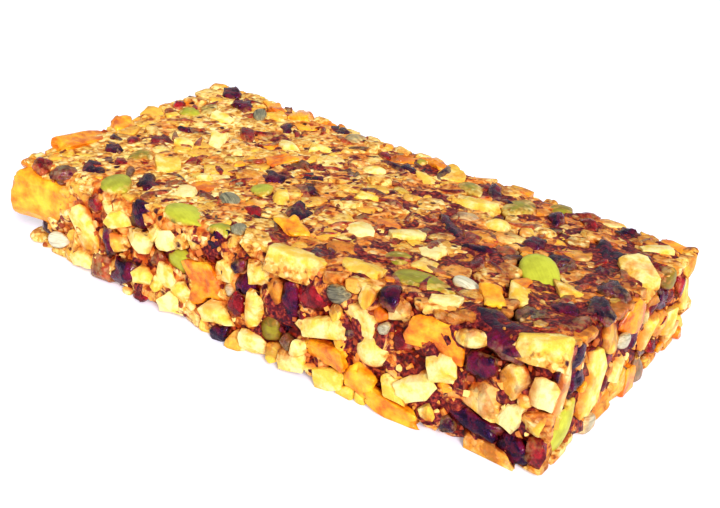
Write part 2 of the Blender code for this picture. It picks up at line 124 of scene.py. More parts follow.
# The pieces that show best on each face, as in the solid, by kind: place on the face, length, width and
# turn in degrees. Along is from the bar's middle, across from its front edge, up from its underside.
TOP = {  # along, across, length, width, turn
    Kind.CHERRY: (
        (-45.0, 48.0, 5.5, 3.5, -40), (-40.0, 44.5, 6.0, 4.0, -50), (-26.5, 42.0, 6.0, 3.2, -50),
        (-18.5, 48.0, 4.5, 2.5, -20), (-39.0, 28.0, 3.0, 2.8, 0), (-14.0, 22.5, 7.0, 4.0, -35),
        (-6.5, 22.5, 6.0, 3.0, -15), (0.5, 42.5, 6.0, 4.0, -55), (-42.0, 13.5, 4.0, 3.0, -30),
        (-38.0, 5.0, 6.0, 4.0, -35), (-27.0, 6.5, 7.0, 4.5, -40), (-1.5, 14.0, 6.0, 4.5, -60),
        (10.5, 4.0, 6.0, 3.5, -40), (16.5, 45.0, 6.0, 2.5, -60), (29.0, 43.0, 4.5, 3.0, -60),
        (31.5, 31.5, 5.0, 3.2, -80), (36.5, 28.0, 6.0, 4.0, 30), (41.0, 37.0, 8.0, 5.5, -60),
        (46.0, 25.0, 9.0, 4.5, -45), (49.0, 17.0, 7.0, 3.5, -65), (45.5, 13.5, 5.0, 4.0, 20),
        (19.0, 26.5, 10.0, 3.0, -38), (26.5, 22.5, 5.0, 3.0, 10), (25.0, 0.8, 4.5, 4.0, -45),
        (41.0, 3.2, 11.0, 6.0, -25), (39.5, 48.0, 4.5, 4.0, 80),
    ),
    Kind.CRANBERRY: (
        (-48.0, 36.0, 4.0, 2.5, -60), (-29.5, 34.0, 7.0, 2.6, -45), (-6.0, 44.5, 4.0, 2.0, -40),
        (-42.0, 18.0, 4.0, 2.4, -55), (-7.0, 9.5, 4.5, 3.2, -40), (-28.0, 18.5, 3.2, 3.0, 0),
        (46.5, 39.5, 4.0, 2.5, -60), (29.0, 17.5, 5.0, 2.2, -70), (-46.5, 1.2, 4.5, 3.2, -45),
        (34.0, 45.5, 5.0, 3.0, -50), (-36.5, 9.5, 4.0, 2.5, -40),
    ),
    Kind.PEPITA: (
        (-30.5, 3.0, 8.5, 5.0, -25), (-14.0, 2.2, 9.5, 5.5, -15), (26.0, 7.2, 12.0, 6.5, -8),
        (37.5, 21.5, 10.5, 5.5, -45), (22.0, 44.0, 10.0, 5.5, 100), (13.0, 43.0, 7.5, 3.8, -40),
        (-43.0, 38.5, 7.0, 4.0, -40), (-11.5, 16.8, 6.5, 3.8, -50),
    ),
    Kind.SUNFLOWER: (
        (31.5, 10.5, 5.0, 2.8, 0), (-4.0, 2.5, 5.0, 2.6, -40), (-12.0, 10.0, 5.0, 3.4, -20),
        (-33.5, 42.5, 5.0, 2.6, -50),
    ),
    Kind.NUT: (
        (-29.5, 13.5, 5.5, 4.2, -40), (-22.5, 14.5, 4.5, 3.2, -30), (-19.5, 7.5, 4.5, 3.4, 0),
        (-6.5, 15.5, 4.5, 3.2, -40), (-3.5, 37.5, 5.5, 4.5, 20), (5.5, 41.0, 6.0, 4.5, -60),
        (18.0, 37.5, 7.5, 5.0, -10), (23.5, 33.0, 5.0, 4.5, 30), (48.0, 33.0, 9.5, 4.6, -50),
        (43.0, 19.5, 6.5, 3.8, -52), (38.5, 13.0, 5.0, 3.5, -60), (15.5, 19.0, 5.5, 4.0, 40),
        (21.5, 16.5, 5.0, 4.0, 0), (17.0, 5.0, 8.0, 6.0, 10), (8.5, 0.4, 9.0, 5.2, 12),
        (48.5, 1.5, 7.0, 6.4, 15), (32.0, 3.6, 4.5, 3.5, 20), (-30.5, 27.5, 6.0, 4.0, -40),
        (-34.5, 23.0, 4.0, 3.0, 20), (9.5, 14.5, 6.0, 4.5, -50), (-20.5, 34.5, 4.5, 3.5, -30),
        (-16.0, 39.0, 6.5, 4.5, -55), (-37.5, 36.5, 4.5, 3.5, 0), (45.5, 45.5, 5.0, 4.0, 30),
        (2.5, 27.0, 5.0, 3.6, 0),
    ),
    Kind.APRICOT: (
        (-49.0, 13.5, 13.0, 4.4, 88), (-28.5, 49.0, 6.5, 4.5, -60), (36.0, 9.0, 5.0, 3.0, -50),
        (1.5, 8.5, 5.0, 3.5, -30), (2.5, 48.5, 6.0, 3.5, -25), (-34.5, 48.0, 5.0, 3.2, -40),
    ),
}
FRONT_SIDE = {  # along, up, length, width, turn
    Kind.APRICOT: (
        (-45.5, 9.6, 14.0, 8.5, -8), (-8.2, 8.5, 6.4, 5.6, -70), (32.8, 14.6, 8.0, 5.0, -5),
        (27.5, 1.4, 9.5, 3.0, -5), (16.5, 5.8, 7.5, 3.2, 10), (22.6, 3.8, 4.5, 4.0, 60),
    ),
    Kind.CRANBERRY: (
        (-32.6, 13.2, 3.4, 3.0, 30), (-0.6, 7.2, 4.2, 3.2, 80), (13.0, 13.2, 6.5, 5.0, 20),
        (28.2, 12.0, 5.0, 4.0, 0),
    ),
    Kind.CHERRY: (
        (-28.6, 7.8, 5.5, 2.8, 80), (-25.2, 3.4, 6.0, 5.0, 20), (8.6, 9.8, 8.5, 3.2, 85),
        (40.2, 13.2, 4.6, 3.8, 20), (40.5, 4.0, 9.0, 3.8, -8), (46.2, 2.8, 5.5, 4.0, -20),
    ),
    Kind.SUNFLOWER: (
        (-41.4, 3.4, 5.0, 2.8, 10), (17.2, 15.4, 4.6, 3.0, 20),
    ),
    Kind.NUT: (
        (-34.6, 7.8, 8.5, 5.4, -58), (-26.8, 12.2, 5.0, 3.2, 20), (-21.6, 10.4, 7.0, 4.0, 18),
        (-15.8, 12.4, 4.5, 3.2, 20), (-15.2, 6.6, 4.5, 3.4, 0), (-13.8, 2.4, 5.5, 4.0, 0),
        (-3.8, 11.6, 5.0, 3.4, 20), (-4.6, 4.2, 6.5, 4.2, 10), (3.0, 8.0, 5.4, 2.8, 88),
        (2.6, 13.4, 4.4, 3.6, 0), (20.8, 13.4, 6.4, 5.0, -15), (26.8, 16.4, 4.4, 3.4, 0),
        (23.6, 8.6, 6.4, 5.0, 20), (38.4, 16.6, 5.4, 2.8, 15), (34.4, 10.4, 5.4, 4.2, 10),
        (31.4, 6.4, 6.0, 3.8, 28), (28.0, 4.4, 5.2, 4.0, -45), (33.6, 2.0, 4.2, 3.4, -50),
        (40.6, 8.6, 7.5, 5.0, -8), (45.4, 7.6, 4.4, 3.4, 80), (45.0, 13.0, 5.0, 4.6, 0),
        (49.4, 12.6, 5.6, 3.6, 80), (43.4, 0.9, 8.0, 2.6, 0), (17.6, 2.0, 6.0, 3.2, 20),
        (10.6, 2.4, 5.0, 3.2, 10), (14.6, 9.2, 9.0, 3.2, 22), (-20.2, 4.6, 5.0, 3.2, 10),
        (-35.2, 2.2, 5.0, 3.0, 10), (3.4, 2.2, 5.0, 3.4, 0),
    ),
}
END_SIDE = {  # across, up, length, width, turn
    Kind.NUT: (
        (3.2, 13.0, 7.5, 3.4, 85), (13.5, 8.4, 9.5, 6.0, 75), (23.5, 6.6, 5.5, 5.0, 60),
        (33.5, 6.6, 8.0, 5.5, 80), (42.5, 5.6, 4.8, 4.2, 80), (48.6, 9.6, 8.0, 4.0, 85),
    ),
    Kind.PEPITA: (
        (5.4, 5.6, 8.5, 5.0, 55),
    ),
    Kind.CHERRY: (
        (7.8, 11.4, 5.0, 4.0, 0), (37.6, 11.6, 6.0, 3.6, -30), (27.8, 9.4, 4.4, 3.2, 80),
    ),
    Kind.CRANBERRY: (
        (18.5, 5.6, 3.6, 2.6, -30), (44.4, 11.4, 4.2, 2.6, 85),
    ),
}

SHOWN = {Face.TOP: TOP, Face.FRONT: FRONT_SIDE, Face.END: END_SIDE}


@dataclass(frozen=True)
class BarForm:
    """The bar's outer form, the same as its solid's, in millimetres."""

    length: float = 102.0
    width: float = 51.0
    front_left: float = 15.6
    front_right: float = 19.5
    back_left: float = 17.4
    back_right: float = 15.0
    bow_top: float = 0.8
    bow_bottom: float = 3.0
    worn_rise: float = 6.6
    worn_along: float = 12.0
    worn_across: float = 10.0
    crack: tuple[Pair, ...] = ((19.0, 41.5), (30.0, 27.5), (40.5, 7.0))
    crack_depth: float = 1.7
    crack_reach: float = 2.2
    pan: tuple[float, float, float] = (51.4, 27.0, 19.78)

    @property
    def edge(self) -> float:
        """Y of the front side at the bar's two ends."""
        return (self.bow_bottom - self.width) / 2

    @property
    def lowest(self) -> float:
        """The lowest of the four corner heights."""
        return min(self.front_left, self.front_right, self.back_left, self.back_right)

    def height(self, along: float, across: float) -> float:
        """Height of the top face at a place, between the four corner heights.

        Args:
            along: the place along the bar.
            across: the place across it.

        Returns:
            The height.
        """
        u = along / self.length + 0.5
        v = across / self.width
        front = self.front_left * (1 - u) + self.front_right * u
        back = self.back_left * (1 - u) + self.back_right * u
        return front * (1 - v) + back * v

    def bow(self, along: float, up: float) -> float:
        """How far the front side stands out in front of a straight cut.

        Args:
            along: the place along the bar.
            up: its height.

        Returns:
            The bow.
        """
        share = np.maximum(0.0, 1.0 - (2.0 * along / self.length) ** 2)
        height = np.clip(up / self.height(along, 0.0), 0.0, 1.0)
        return share * (self.bow_bottom * (1 - height) + self.bow_top * height)

    def worn(self, along: float, across: float) -> float:
        """How far the crumbled corner has taken the underside up.

        Args:
            along: the place along the bar.
            across: the place across it.

        Returns:
            The rise.
        """
        near = np.maximum(0.0, across) / self.worn_across
        away = np.hypot((along + self.length / 2) / self.worn_along, near)
        return self.worn_rise * np.maximum(0.0, 1.0 - away)

    def cracked(self, along: float, across: float) -> float:
        """Depth of the crack over the top.

        Args:
            along: the place along the bar.
            across: the place across it.

        Returns:
            The depth, nothing away from the crack.
        """
        place = Vector((along, across))
        gap = self.crack_reach
        for start, stop in zip(self.crack, self.crack[1:]):
            a, b = Vector(start), Vector(stop)
            share = max(0.0, min(1.0, (place - a).dot(b - a) / (b - a).length_squared))
            gap = min(gap, (place - a.lerp(b, share)).length)
        return self.crack_depth * (1 - gap / self.crack_reach)

    def axes(self, face: Face) -> tuple[int, int]:
        """The axes of a face's first and second coordinates."""
        return (0, 1) if face in PRESSED else (1 if face in ENDS else 0, 2)

    def span(self, face: Face) -> Pair:
        """Where a face starts and ends along its first direction."""
        return (0.0, self.width) if face in ENDS else (-self.length / 2, self.length / 2)

    def limits(self, face: Face, first: float) -> Pair:
        """The lowest and highest second coordinate of a face.

        Args:
            face: the face.
            first: the first coordinate.

        Returns:
            The two second coordinates.
        """
        if face in PRESSED:
            return 0.0, self.width
        if face in ENDS:
            along = self.length / 2 if face == Face.END else -self.length / 2
            return float(self.worn(along, first)), self.height(along, first)
        across = 0.0 if face == Face.FRONT else self.width
        return float(self.worn(first, across)), self.height(first, across)

    def frame(self, face: Face, first: float, second: float) -> tuple[Vector, Vector, Vector]:
        """Point, outward normal and first direction at a place on one of the outer faces.

        Args:
            face: the face.
            first: along the bar, or across it on an end.
            second: across the bar on the top and the underside, otherwise up.

        Returns:
            The point, the normal and the first direction.
        """
        side = 1 if face in (Face.TOP, Face.BACK, Face.END) else -1
        if face in PRESSED:
            up = self.height(first, second) if face == Face.TOP else 0.0
            return Vector((first, self.edge + second, up)), Vector((0, 0, side)), Vector((1, 0, 0))
        if face in ENDS:
            point = Vector((side * self.length / 2, self.edge + first, second))
            return point, Vector((side, 0, 0)), Vector((0, side, 0))
        y = self.edge + self.width if face == Face.BACK else self.edge - self.bow(first, second)
        return Vector((first, y, second)), Vector((0, side, 0)), Vector((-side, 0, 0))

    def seen_from(self, face: Face, point: Vector) -> tuple[float, float, float]:
        """Where a point lies, seen from outside a face.

        Args:
            face: the face.
            point: the point.

        Returns:
            Its first and second coordinates on the face, and how far it lies below the face.
        """
        x, y, z = point
        across = y - self.edge
        if face == Face.TOP:
            return x, across, self.height(x, across) - z
        if face == Face.UNDER:
            return x, across, z
        if face == Face.FRONT:
            return x, z, across + self.bow(x, z)
        if face == Face.BACK:
            return x, z, self.width - across
        return across, z, self.length / 2 - (x if face == Face.END else -x)

    def depth(self, points: np.ndarray) -> np.ndarray:
        """How far points lie inside the nearest outer face, in millimetres.

        Args:
            points: an array of points, in millimetres.

        Returns:
            One depth for each point, negative outside.
        """
        x, y, z = points.T
        across = y - self.edge
        sides = (
            self.height(x, across) - z,
            across + self.bow(x, z),
            self.width - across,
            self.length / 2 - np.abs(x),
            z - self.worn(x, across),
        )
        return np.minimum.reduce(sides)


FORM = BarForm()


@dataclass
class Placed:
    """One piece of the mix, and where its unit form goes."""

    kind: Kind
    face: Face
    matrix: Matrix
    length: float
    listed: bool = False
    tone: Tone = (0.5, 0.5, 0.5, 0.0)


@dataclass(frozen=True)
class Facets:
    """How the solid shapes a piece of one kind."""

    thick: float
    power: float
    points: int
    uneven: float


FACETS = {
    Kind.NUT: Facets(thick=0.80, power=3.4, points=10, uneven=0.10),
    Kind.CHERRY: Facets(thick=0.70, power=2.2, points=10, uneven=0.12),
    Kind.CRANBERRY: Facets(thick=0.75, power=2.2, points=10, uneven=0.12),
    Kind.APRICOT: Facets(thick=0.65, power=3.0, points=10, uneven=0.08),
    Kind.PEPITA: Facets(thick=0.45, power=2.0, points=14, uneven=0.02),
    Kind.SUNFLOWER: Facets(thick=0.60, power=2.0, points=12, uneven=0.02),
}


def pick(shares: Shares, draw: random.Random) -> Kind:
    """One kind, drawn by its share."""
    return draw.choices(tuple(shares), tuple(shares.values()))[0]


def leaned(normal: Vector, first: Vector, turn: float, lean: float, draw: random.Random) -> Matrix:
    """How a piece lies on a face: turned about its normal, then tipped a little both ways.

    Args:
        normal: the face's outward normal.
        first: the face's first direction.
        turn: the turn about the normal, in radians.
        lean: the most that the piece is tipped each way, in radians.
        draw: the random numbers.

    Returns:
        The piece's rotation.
    """
    basis = Matrix((first, normal.cross(first), normal)).transposed().to_4x4()
    tip = Matrix.Rotation(draw.uniform(-lean, lean), 4, "X")
    tip = tip @ Matrix.Rotation(draw.uniform(-lean, lean), 4, "Y")
    return basis @ Matrix.Rotation(turn, 4, "Z") @ tip


@dataclass(frozen=True)
class Layout:
    """Where the solid has its pieces: those that show best, then its seeded fill."""

    steps: dict[Face, float]
    shares: Shares
    seed: int = 20
    seed_taper: float = 0.35
    lean: float = math.radians(12.0)
    proud_flat: Pair = (-0.1, 0.4)
    proud_cut: Pair = (-0.2, 0.7)
    proud_most: float = 0.5
    fill_length: Pair = (3.6, 5.8)
    fill_slimness: Pair = (0.55, 0.85)
    jitter: float = 0.3
    clearance: float = 1.6

    def hull_points(self, kind: Kind, half: Vector, draw: random.Random) -> list[Vector]:
        """The points of a piece in the solid, which settle how far it is pulled in.

        Args:
            kind: what the piece is.
            half: half its size each way.
            draw: the random numbers.

        Returns:
            The points, round the piece's own middle.
        """
        facets = FACETS[kind]
        golden = math.pi * (3 - math.sqrt(5))
        start = draw.uniform(0, 2 * math.pi)
        points = []
        for i in range(facets.points):
            z = 1 - 2 * (i + 0.5) / facets.points
            angle = start + i * golden
            ring = math.sqrt(1 - z * z)
            ray = Vector((ring * math.cos(angle), ring * math.sin(angle), z))
            size = sum(abs(c) ** facets.power for c in ray) ** (-1 / facets.power)
            point = ray * size * (1 + draw.uniform(-1, 1) * facets.uneven)
            if kind in SEEDS:
                point.y *= 1 - self.seed_taper * point.x
            points.append(point * half)
        return points

    def pull_in(self, points: list[Vector]) -> Vector:
        """How a piece moves back where it stands too far out of one of the bar's faces.

        Args:
            points: the piece's points.

        Returns:
            The way that it moves.
        """
        middle = sum(points, Vector()) / len(points)
        across = middle.y - FORM.edge
        front = FORM.edge - FORM.bow(middle.x, middle.z)
        low = Vector((-FORM.length / 2, front, FORM.worn(middle.x, across)))
        high = Vector((FORM.length / 2, FORM.edge + FORM.width, FORM.height(middle.x, across)))
        shift = Vector()
        for axis in range(3):
            over = max(p[axis] for p in points) - high[axis] - self.proud_most
            under = low[axis] - self.proud_most - min(p[axis] for p in points)
            shift[axis] = max(0.0, under) - max(0.0, over)
        return shift

    def place(
        self, face: Face, kind: Kind, spot: Pair, size: Pair, turn: float, draw: random.Random
    ) -> Placed:
        """One piece, sunk in the binder with its outer side near the face.

        Args:
            face: the face.
            kind: what the piece is.
            spot: its two coordinates on the face.
            size: its length and width.
            turn: its turn about the face's normal, in degrees.
            draw: the random numbers.

        Returns:
            The placed piece.
        """
        origin, normal, first = FORM.frame(face, *spot)
        proud = draw.uniform(*(self.proud_flat if face in PRESSED else self.proud_cut))
        thick = size[1] * FACETS[kind].thick
        centre = origin + normal * (proud - thick / 2)
        turned = leaned(normal, first, math.radians(turn), self.lean, draw)
        matrix = Matrix.Translation(centre) @ turned
        half = Vector((size[0], size[1], thick)) / 2
        shift = self.pull_in([matrix @ p for p in self.hull_points(kind, half, draw)])
        scaled = Matrix.Translation(shift) @ matrix @ Matrix.Diagonal((*half, 1.0))
        return Placed(kind, face, scaled, size[0])

    def is_worn(self, face: Face, first: float, second: float) -> bool:
        """Whether a place on a face lies where the corner has crumbled away.

        Args:
            face: the face.
            first: the place's first coordinate.
            second: its second coordinate.

        Returns:
            Whether it does.
        """
        if face == Face.UNDER:
            return FORM.worn(first, second) > 0
        return face in (Face.FRONT, Face.LEFT) and second < FORM.limits(face, first)[0] + self.clearance

    def fill_places(self, face: Face, taken: list, draw: random.Random) -> list[Pair]:
        """Places on a jittered grid over a face that are clear of the pieces already there.

        Args:
            face: the face.
            taken: the two coordinates and the reach of each piece already there.
            draw: the random numbers.

        Returns:
            The two coordinates of each place.
        """
        start, stop = FORM.span(face)
        tall = FORM.width if face in PRESSED else FORM.lowest
        columns = int((stop - start) / self.steps[face])
        rows = int(tall / self.steps[face])
        places = []
        for column in range(columns):
            for row in range(rows):
                sideways = draw.uniform(-self.jitter, self.jitter)
                first = start + (stop - start) * (column + 0.5 + sideways) / columns
                second = tall * (row + 0.5 + draw.uniform(-self.jitter, self.jitter)) / rows
                near = [t for t in taken if math.hypot(t[0] - first, t[1] - second) < t[2]]
                if not near and not self.is_worn(face, first, second):
                    places.append((first, second))
        return places

    def pieces(self) -> list[Placed]:
        """Every piece of the solid, in the solid's own order of draws.

        Returns:
            The placed pieces.
        """
        draw = random.Random(self.seed)
        placed = []
        for face in self.steps:
            taken = []
            shown = [(kind, *row) for kind, rows in SHOWN.get(face, {}).items() for row in rows]
            for kind, first, second, length, width, turn in shown:
                piece = self.place(face, kind, (first, second), (length, width), turn, draw)
                piece.listed = True
                placed.append(piece)
                taken.append((first, second, length / 2 + self.clearance))
            for spot in self.fill_places(face, taken, draw):
                kind = pick(self.shares, draw)
                length = draw.uniform(*self.fill_length)
                size = (length, length * draw.uniform(*self.fill_slimness))
                turn = draw.uniform(0, 180)
                placed.append(self.place(face, kind, spot, size, turn, draw))
        return placed


LAYOUT = Layout(
    steps={
        Face.TOP: 5.7,
        Face.FRONT: 4.4,
        Face.END: 4.7,
        Face.BACK: 5.2,
        Face.LEFT: 5.0,
        Face.UNDER: 10.5,
    },
    shares={
        Kind.NUT: 0.60,
        Kind.CHERRY: 0.14,
        Kind.CRANBERRY: 0.08,
        Kind.APRICOT: 0.08,
        Kind.SUNFLOWER: 0.05,
        Kind.PEPITA: 0.05,
    },
)


def linear(red: int, green: int, blue: int) -> Colour:
    """A screen colour, 0 to 255, as the linear colour that a shader takes."""
    return tuple(((c / 255 + 0.055) / 1.055) ** 2.4 if c > 10 else c / 3294 for c in (red, green, blue))


def ball(detail: int) -> bmesh.types.BMesh:
    """A round form of one unit's radius."""
    bm = bmesh.new()
    bmesh.ops.create_icosphere(bm, subdivisions=detail, radius=1.0)
    return bm


def block(size: float) -> bmesh.types.BMesh:
    """A cube, round its own middle."""
    bm = bmesh.new()
    bmesh.ops.create_cube(bm, size=size)
    return bm


def to_mesh(bm: bmesh.types.BMesh, name: str) -> bpy.types.Mesh:
    """Turns a form into a mesh and frees the form.

    Args:
        bm: the form.
        name: the mesh's name.

    Returns:
        The mesh.
    """
    mesh = bpy.data.meshes.new(name)
    bm.to_mesh(mesh)
    bm.free()
    return mesh


def knife(bm: bmesh.types.BMesh, normal: Vector, reach: float) -> None:
    """Cuts a flat face on a closed form and closes it.

    Args:
        bm: the form.
        normal: the way the cut face looks.
        reach: its distance from the middle.
    """
    parts = [*bm.verts, *bm.edges, *bm.faces]
    made = bmesh.ops.bisect_plane(
        bm, geom=parts, plane_co=normal * reach, plane_no=normal, clear_outer=True, dist=1e-4
    )
    rim = [e for e in made["geom_cut"] if isinstance(e, bmesh.types.BMEdge)]
    if rim:
        bmesh.ops.holes_fill(bm, edges=rim, sides=0)


def soften(bm: bmesh.types.BMesh, width: float, segments: int, angle: float) -> None:
    """Rounds a form's sharp edges.

    Args:
        bm: the form.
        width: the width of the rounding.
        segments: its number of segments.
        angle: the angle between two faces, in degrees, past which their edge is rounded.
    """
    limit = math.radians(angle)
    sharp = [e for e in bm.edges if e.is_manifold and e.calc_face_angle(0.0) > limit]
    bmesh.ops.bevel(
        bm,
        geom=sharp,
        affect="EDGES",
        offset=width,
        offset_type="OFFSET",
        segments=segments,
        profile=0.5,
        material=-1,
    )


# How far from the middle of the noise each unit form reads it, each in a direction of its own.
NOISE_AWAY = 20.0


def random_ray(draw: random.Random) -> Vector:
    """A direction, drawn evenly over the sphere.

    Args:
        draw: the random numbers.

    Returns:
        The direction, one unit long.
    """
    z = draw.uniform(-1, 1)
    angle = draw.uniform(0, 2 * math.pi)
    ring = math.sqrt(1 - z * z)
    return Vector((ring * math.cos(angle), ring * math.sin(angle), z))


def as_unit(bm: bmesh.types.BMesh, name: str, smooth: bool = True) -> bpy.types.Mesh:
    """Keeps a unit form's own coordinates on it and turns it into a mesh.

    Args:
        bm: the form, about one unit in half size each way.
        name: the mesh's name.
        smooth: whether its faces are shaded smooth.

    Returns:
        The mesh, with its attributes local and tone.
    """
    local = bm.verts.layers.float_vector.new("local")
    bm.verts.layers.float_color.new("tone")
    for vertex in bm.verts:
        vertex[local] = vertex.co
    for face in bm.faces:
        face.smooth = smooth
    bmesh.ops.recalc_face_normals(bm, faces=bm.faces)
    return to_mesh(bm, name)


@dataclass(frozen=True)
class Nut:
    """A chopped nut: an angular chunk with flat knife cuts and narrow, softened edges."""

    cuts: tuple[int, int] = (6, 11)
    reach: Pair = (0.70, 1.02)
    shortest: float = 0.16
    edge: float = 0.075
    segments: int = 2
    sharp: float = 8.0
    longest: float = 0.55
    lumps: float = 0.18
    lump_scale: float = 1.7

    def make(self, draw: random.Random) -> bpy.types.Mesh:
        """One unit nut.

        Args:
            draw: the random numbers.

        Returns:
            Its mesh.
        """
        bm = block(2.0)
        for _ in range(draw.randint(*self.cuts)):
            knife(bm, random_ray(draw), draw.uniform(*self.reach))
        bmesh.ops.remove_doubles(bm, verts=bm.verts, dist=self.shortest)
        bmesh.ops.dissolve_degenerate(bm, edges=bm.edges, dist=0.02)
        bmesh.ops.recalc_face_normals(bm, faces=bm.faces)
        soften(bm, self.edge, self.segments, self.sharp)
        bmesh.ops.triangulate(bm, faces=bm.faces)
        long = [e for e in bm.edges if e.calc_length() > self.longest]
        bmesh.ops.subdivide_edges(bm, edges=long, cuts=1)
        bmesh.ops.triangulate(bm, faces=bm.faces)
        offset = random_ray(draw) * NOISE_AWAY
        for vertex in bm.verts:
            vertex.co *= 1 + self.lumps * noise.noise(vertex.co * self.lump_scale + offset)
        return as_unit(bm, "nut")


@dataclass(frozen=True)
class Kernel:
    """A whole or split nut kernel: a smooth, longer oval with one flat side."""

    detail: int = 3
    taper: float = 0.25
    flat: float = 0.55
    edge: float = 0.06
    sharp: float = 40.0

    def make(self, draw: random.Random) -> bpy.types.Mesh:
        """One unit kernel.

        Args:
            draw: the random numbers.

        Returns:
            Its mesh.
        """
        bm = ball(self.detail)
        taper = draw.uniform(-self.taper, self.taper)
        for vertex in bm.verts:
            vertex.co.y *= 1 - taper * vertex.co.x
            vertex.co.z *= 1 - 0.5 * taper * vertex.co.x
        knife(bm, Vector((0, 0, -1)), self.flat)
        soften(bm, self.edge, 1, self.sharp)
        return as_unit(bm, "kernel")


@dataclass(frozen=True)
class Fruit:
    """A dried berry or cherry: a squashed form, wrinkled all over."""

    detail: int = 3
    size: float = 1.1
    lumps: float = 0.26
    lump_scale: float = 1.1
    wrinkles: float = 0.14
    fold_scale: float = 2.6

    def make(self, draw: random.Random) -> bpy.types.Mesh:
        """One unit fruit.

        Args:
            draw: the random numbers.

        Returns:
            Its mesh.
        """
        bm = ball(self.detail)
        offset = random_ray(draw) * NOISE_AWAY
        for vertex in bm.verts:
            ray = vertex.co.normalized()
            lump = noise.noise(ray * self.lump_scale + offset) * 2 * self.lumps
            fold = abs(noise.noise(ray * self.fold_scale + offset)) * 3 * self.wrinkles
            crease = abs(noise.noise(ray * self.fold_scale * 2.3 - offset)) * 1.3 * self.wrinkles
            vertex.co = ray * (self.size + lump - fold - crease)
        return as_unit(bm, "fruit")


@dataclass(frozen=True)
class Apricot:
    """A piece of dried apricot: a thick, soft slab with knife-cut sides and shallow dents."""

    cuts: int = 3
    edge: float = 0.34
    segments: int = 3
    sharp: float = 30.0
    size: float = 1.06
    dents: float = 0.16
    folds: float = 0.34
    bend: float = 0.3
    ripple: float = 0.12

    def make(self, draw: random.Random) -> bpy.types.Mesh:
        """One unit piece of apricot.

        Args:
            draw: the random numbers.

        Returns:
            Its mesh.
        """
        bm = block(2.0)
        soften(bm, self.edge, self.segments, self.sharp)
        bmesh.ops.subdivide_edges(bm, edges=bm.edges, cuts=self.cuts, use_grid_fill=True)
        offset = random_ray(draw) * NOISE_AWAY
        curl = draw.uniform(-self.bend, self.bend)
        skew = draw.uniform(-self.bend, self.bend)
        for vertex in bm.verts:
            place = vertex.co.copy()
            dent = noise.noise(place + offset) * 2 * self.dents
            stretched = Vector((place.x * 0.8, place.y * 1.9, place.z))
            fold = abs(noise.noise(stretched - offset)) * self.folds
            vertex.co *= self.size + dent - fold
            vertex.co.z += curl * (place.x**2 - 0.4)
            vertex.co.y += skew * place.x + self.ripple * noise.noise(place * 1.8 + offset)
        return as_unit(bm, "apricot")


@dataclass(frozen=True)
class Seed:
    """A shelled seed: a flat, pointed oval with a thin rim."""

    detail: int = 3
    taper: float = 0.35
    point: float = 0.35
    rim: float = 0.0
    plateau: float = 0.6
    slope: float = 0.15

    def make(self, _: random.Random) -> bpy.types.Mesh:
        """The unit seed, in which nothing is drawn.

        Returns:
            Its mesh.
        """
        bm = ball(self.detail)
        for vertex in bm.verts:
            x = vertex.co.x
            narrow = (1 - self.taper * x) * (1 - self.point * max(0.0, x) ** 2)
            away = math.hypot(x, vertex.co.y)
            vertex.co.y *= narrow
            vertex.co.z = math.copysign(abs(vertex.co.z) ** self.plateau, vertex.co.z)
            vertex.co.z *= narrow * (1 - self.slope * away) + self.rim * away**6
        return as_unit(bm, "seed")


@dataclass(frozen=True)
class Shred:
    """A torn strand of dried fruit: long, bent and uneven in width."""

    detail: int = 2
    bend: float = 0.9
    uneven: float = 0.5

    def make(self, draw: random.Random) -> bpy.types.Mesh:
        """One unit strand.

        Args:
            draw: the random numbers.

        Returns:
            Its mesh.
        """
        bm = ball(self.detail)
        phase = draw.uniform(0, math.tau)
        pitch = draw.uniform(1.5, 3.5)
        offset = random_ray(draw) * NOISE_AWAY
        for vertex in bm.verts:
            x = vertex.co.x
            wide = 1 + 2 * self.uneven * noise.noise(Vector((2.2 * x, 0, 0)) + offset)
            vertex.co.y = vertex.co.y * wide + self.bend * math.sin(pitch * x + phase)
            vertex.co.z *= 1 + self.uneven * noise.noise(vertex.co * 2.5 + offset)
        return as_unit(bm, "shred")


@dataclass(frozen=True)
class Crumb:
    """A crumb of nut or fruit: a small, angular splinter."""

    size: float = 1.8
    cuts: int = 4
    reach: Pair = (0.45, 0.85)

    def make(self, draw: random.Random) -> bpy.types.Mesh:
        """One unit crumb.

        Args:
            draw: the random numbers.

        Returns:
            Its mesh.
        """
        bm = block(self.size)
        for _ in range(self.cuts):
            knife(bm, random_ray(draw), draw.uniform(*self.reach))
        return as_unit(bm, "crumb", smooth=False)


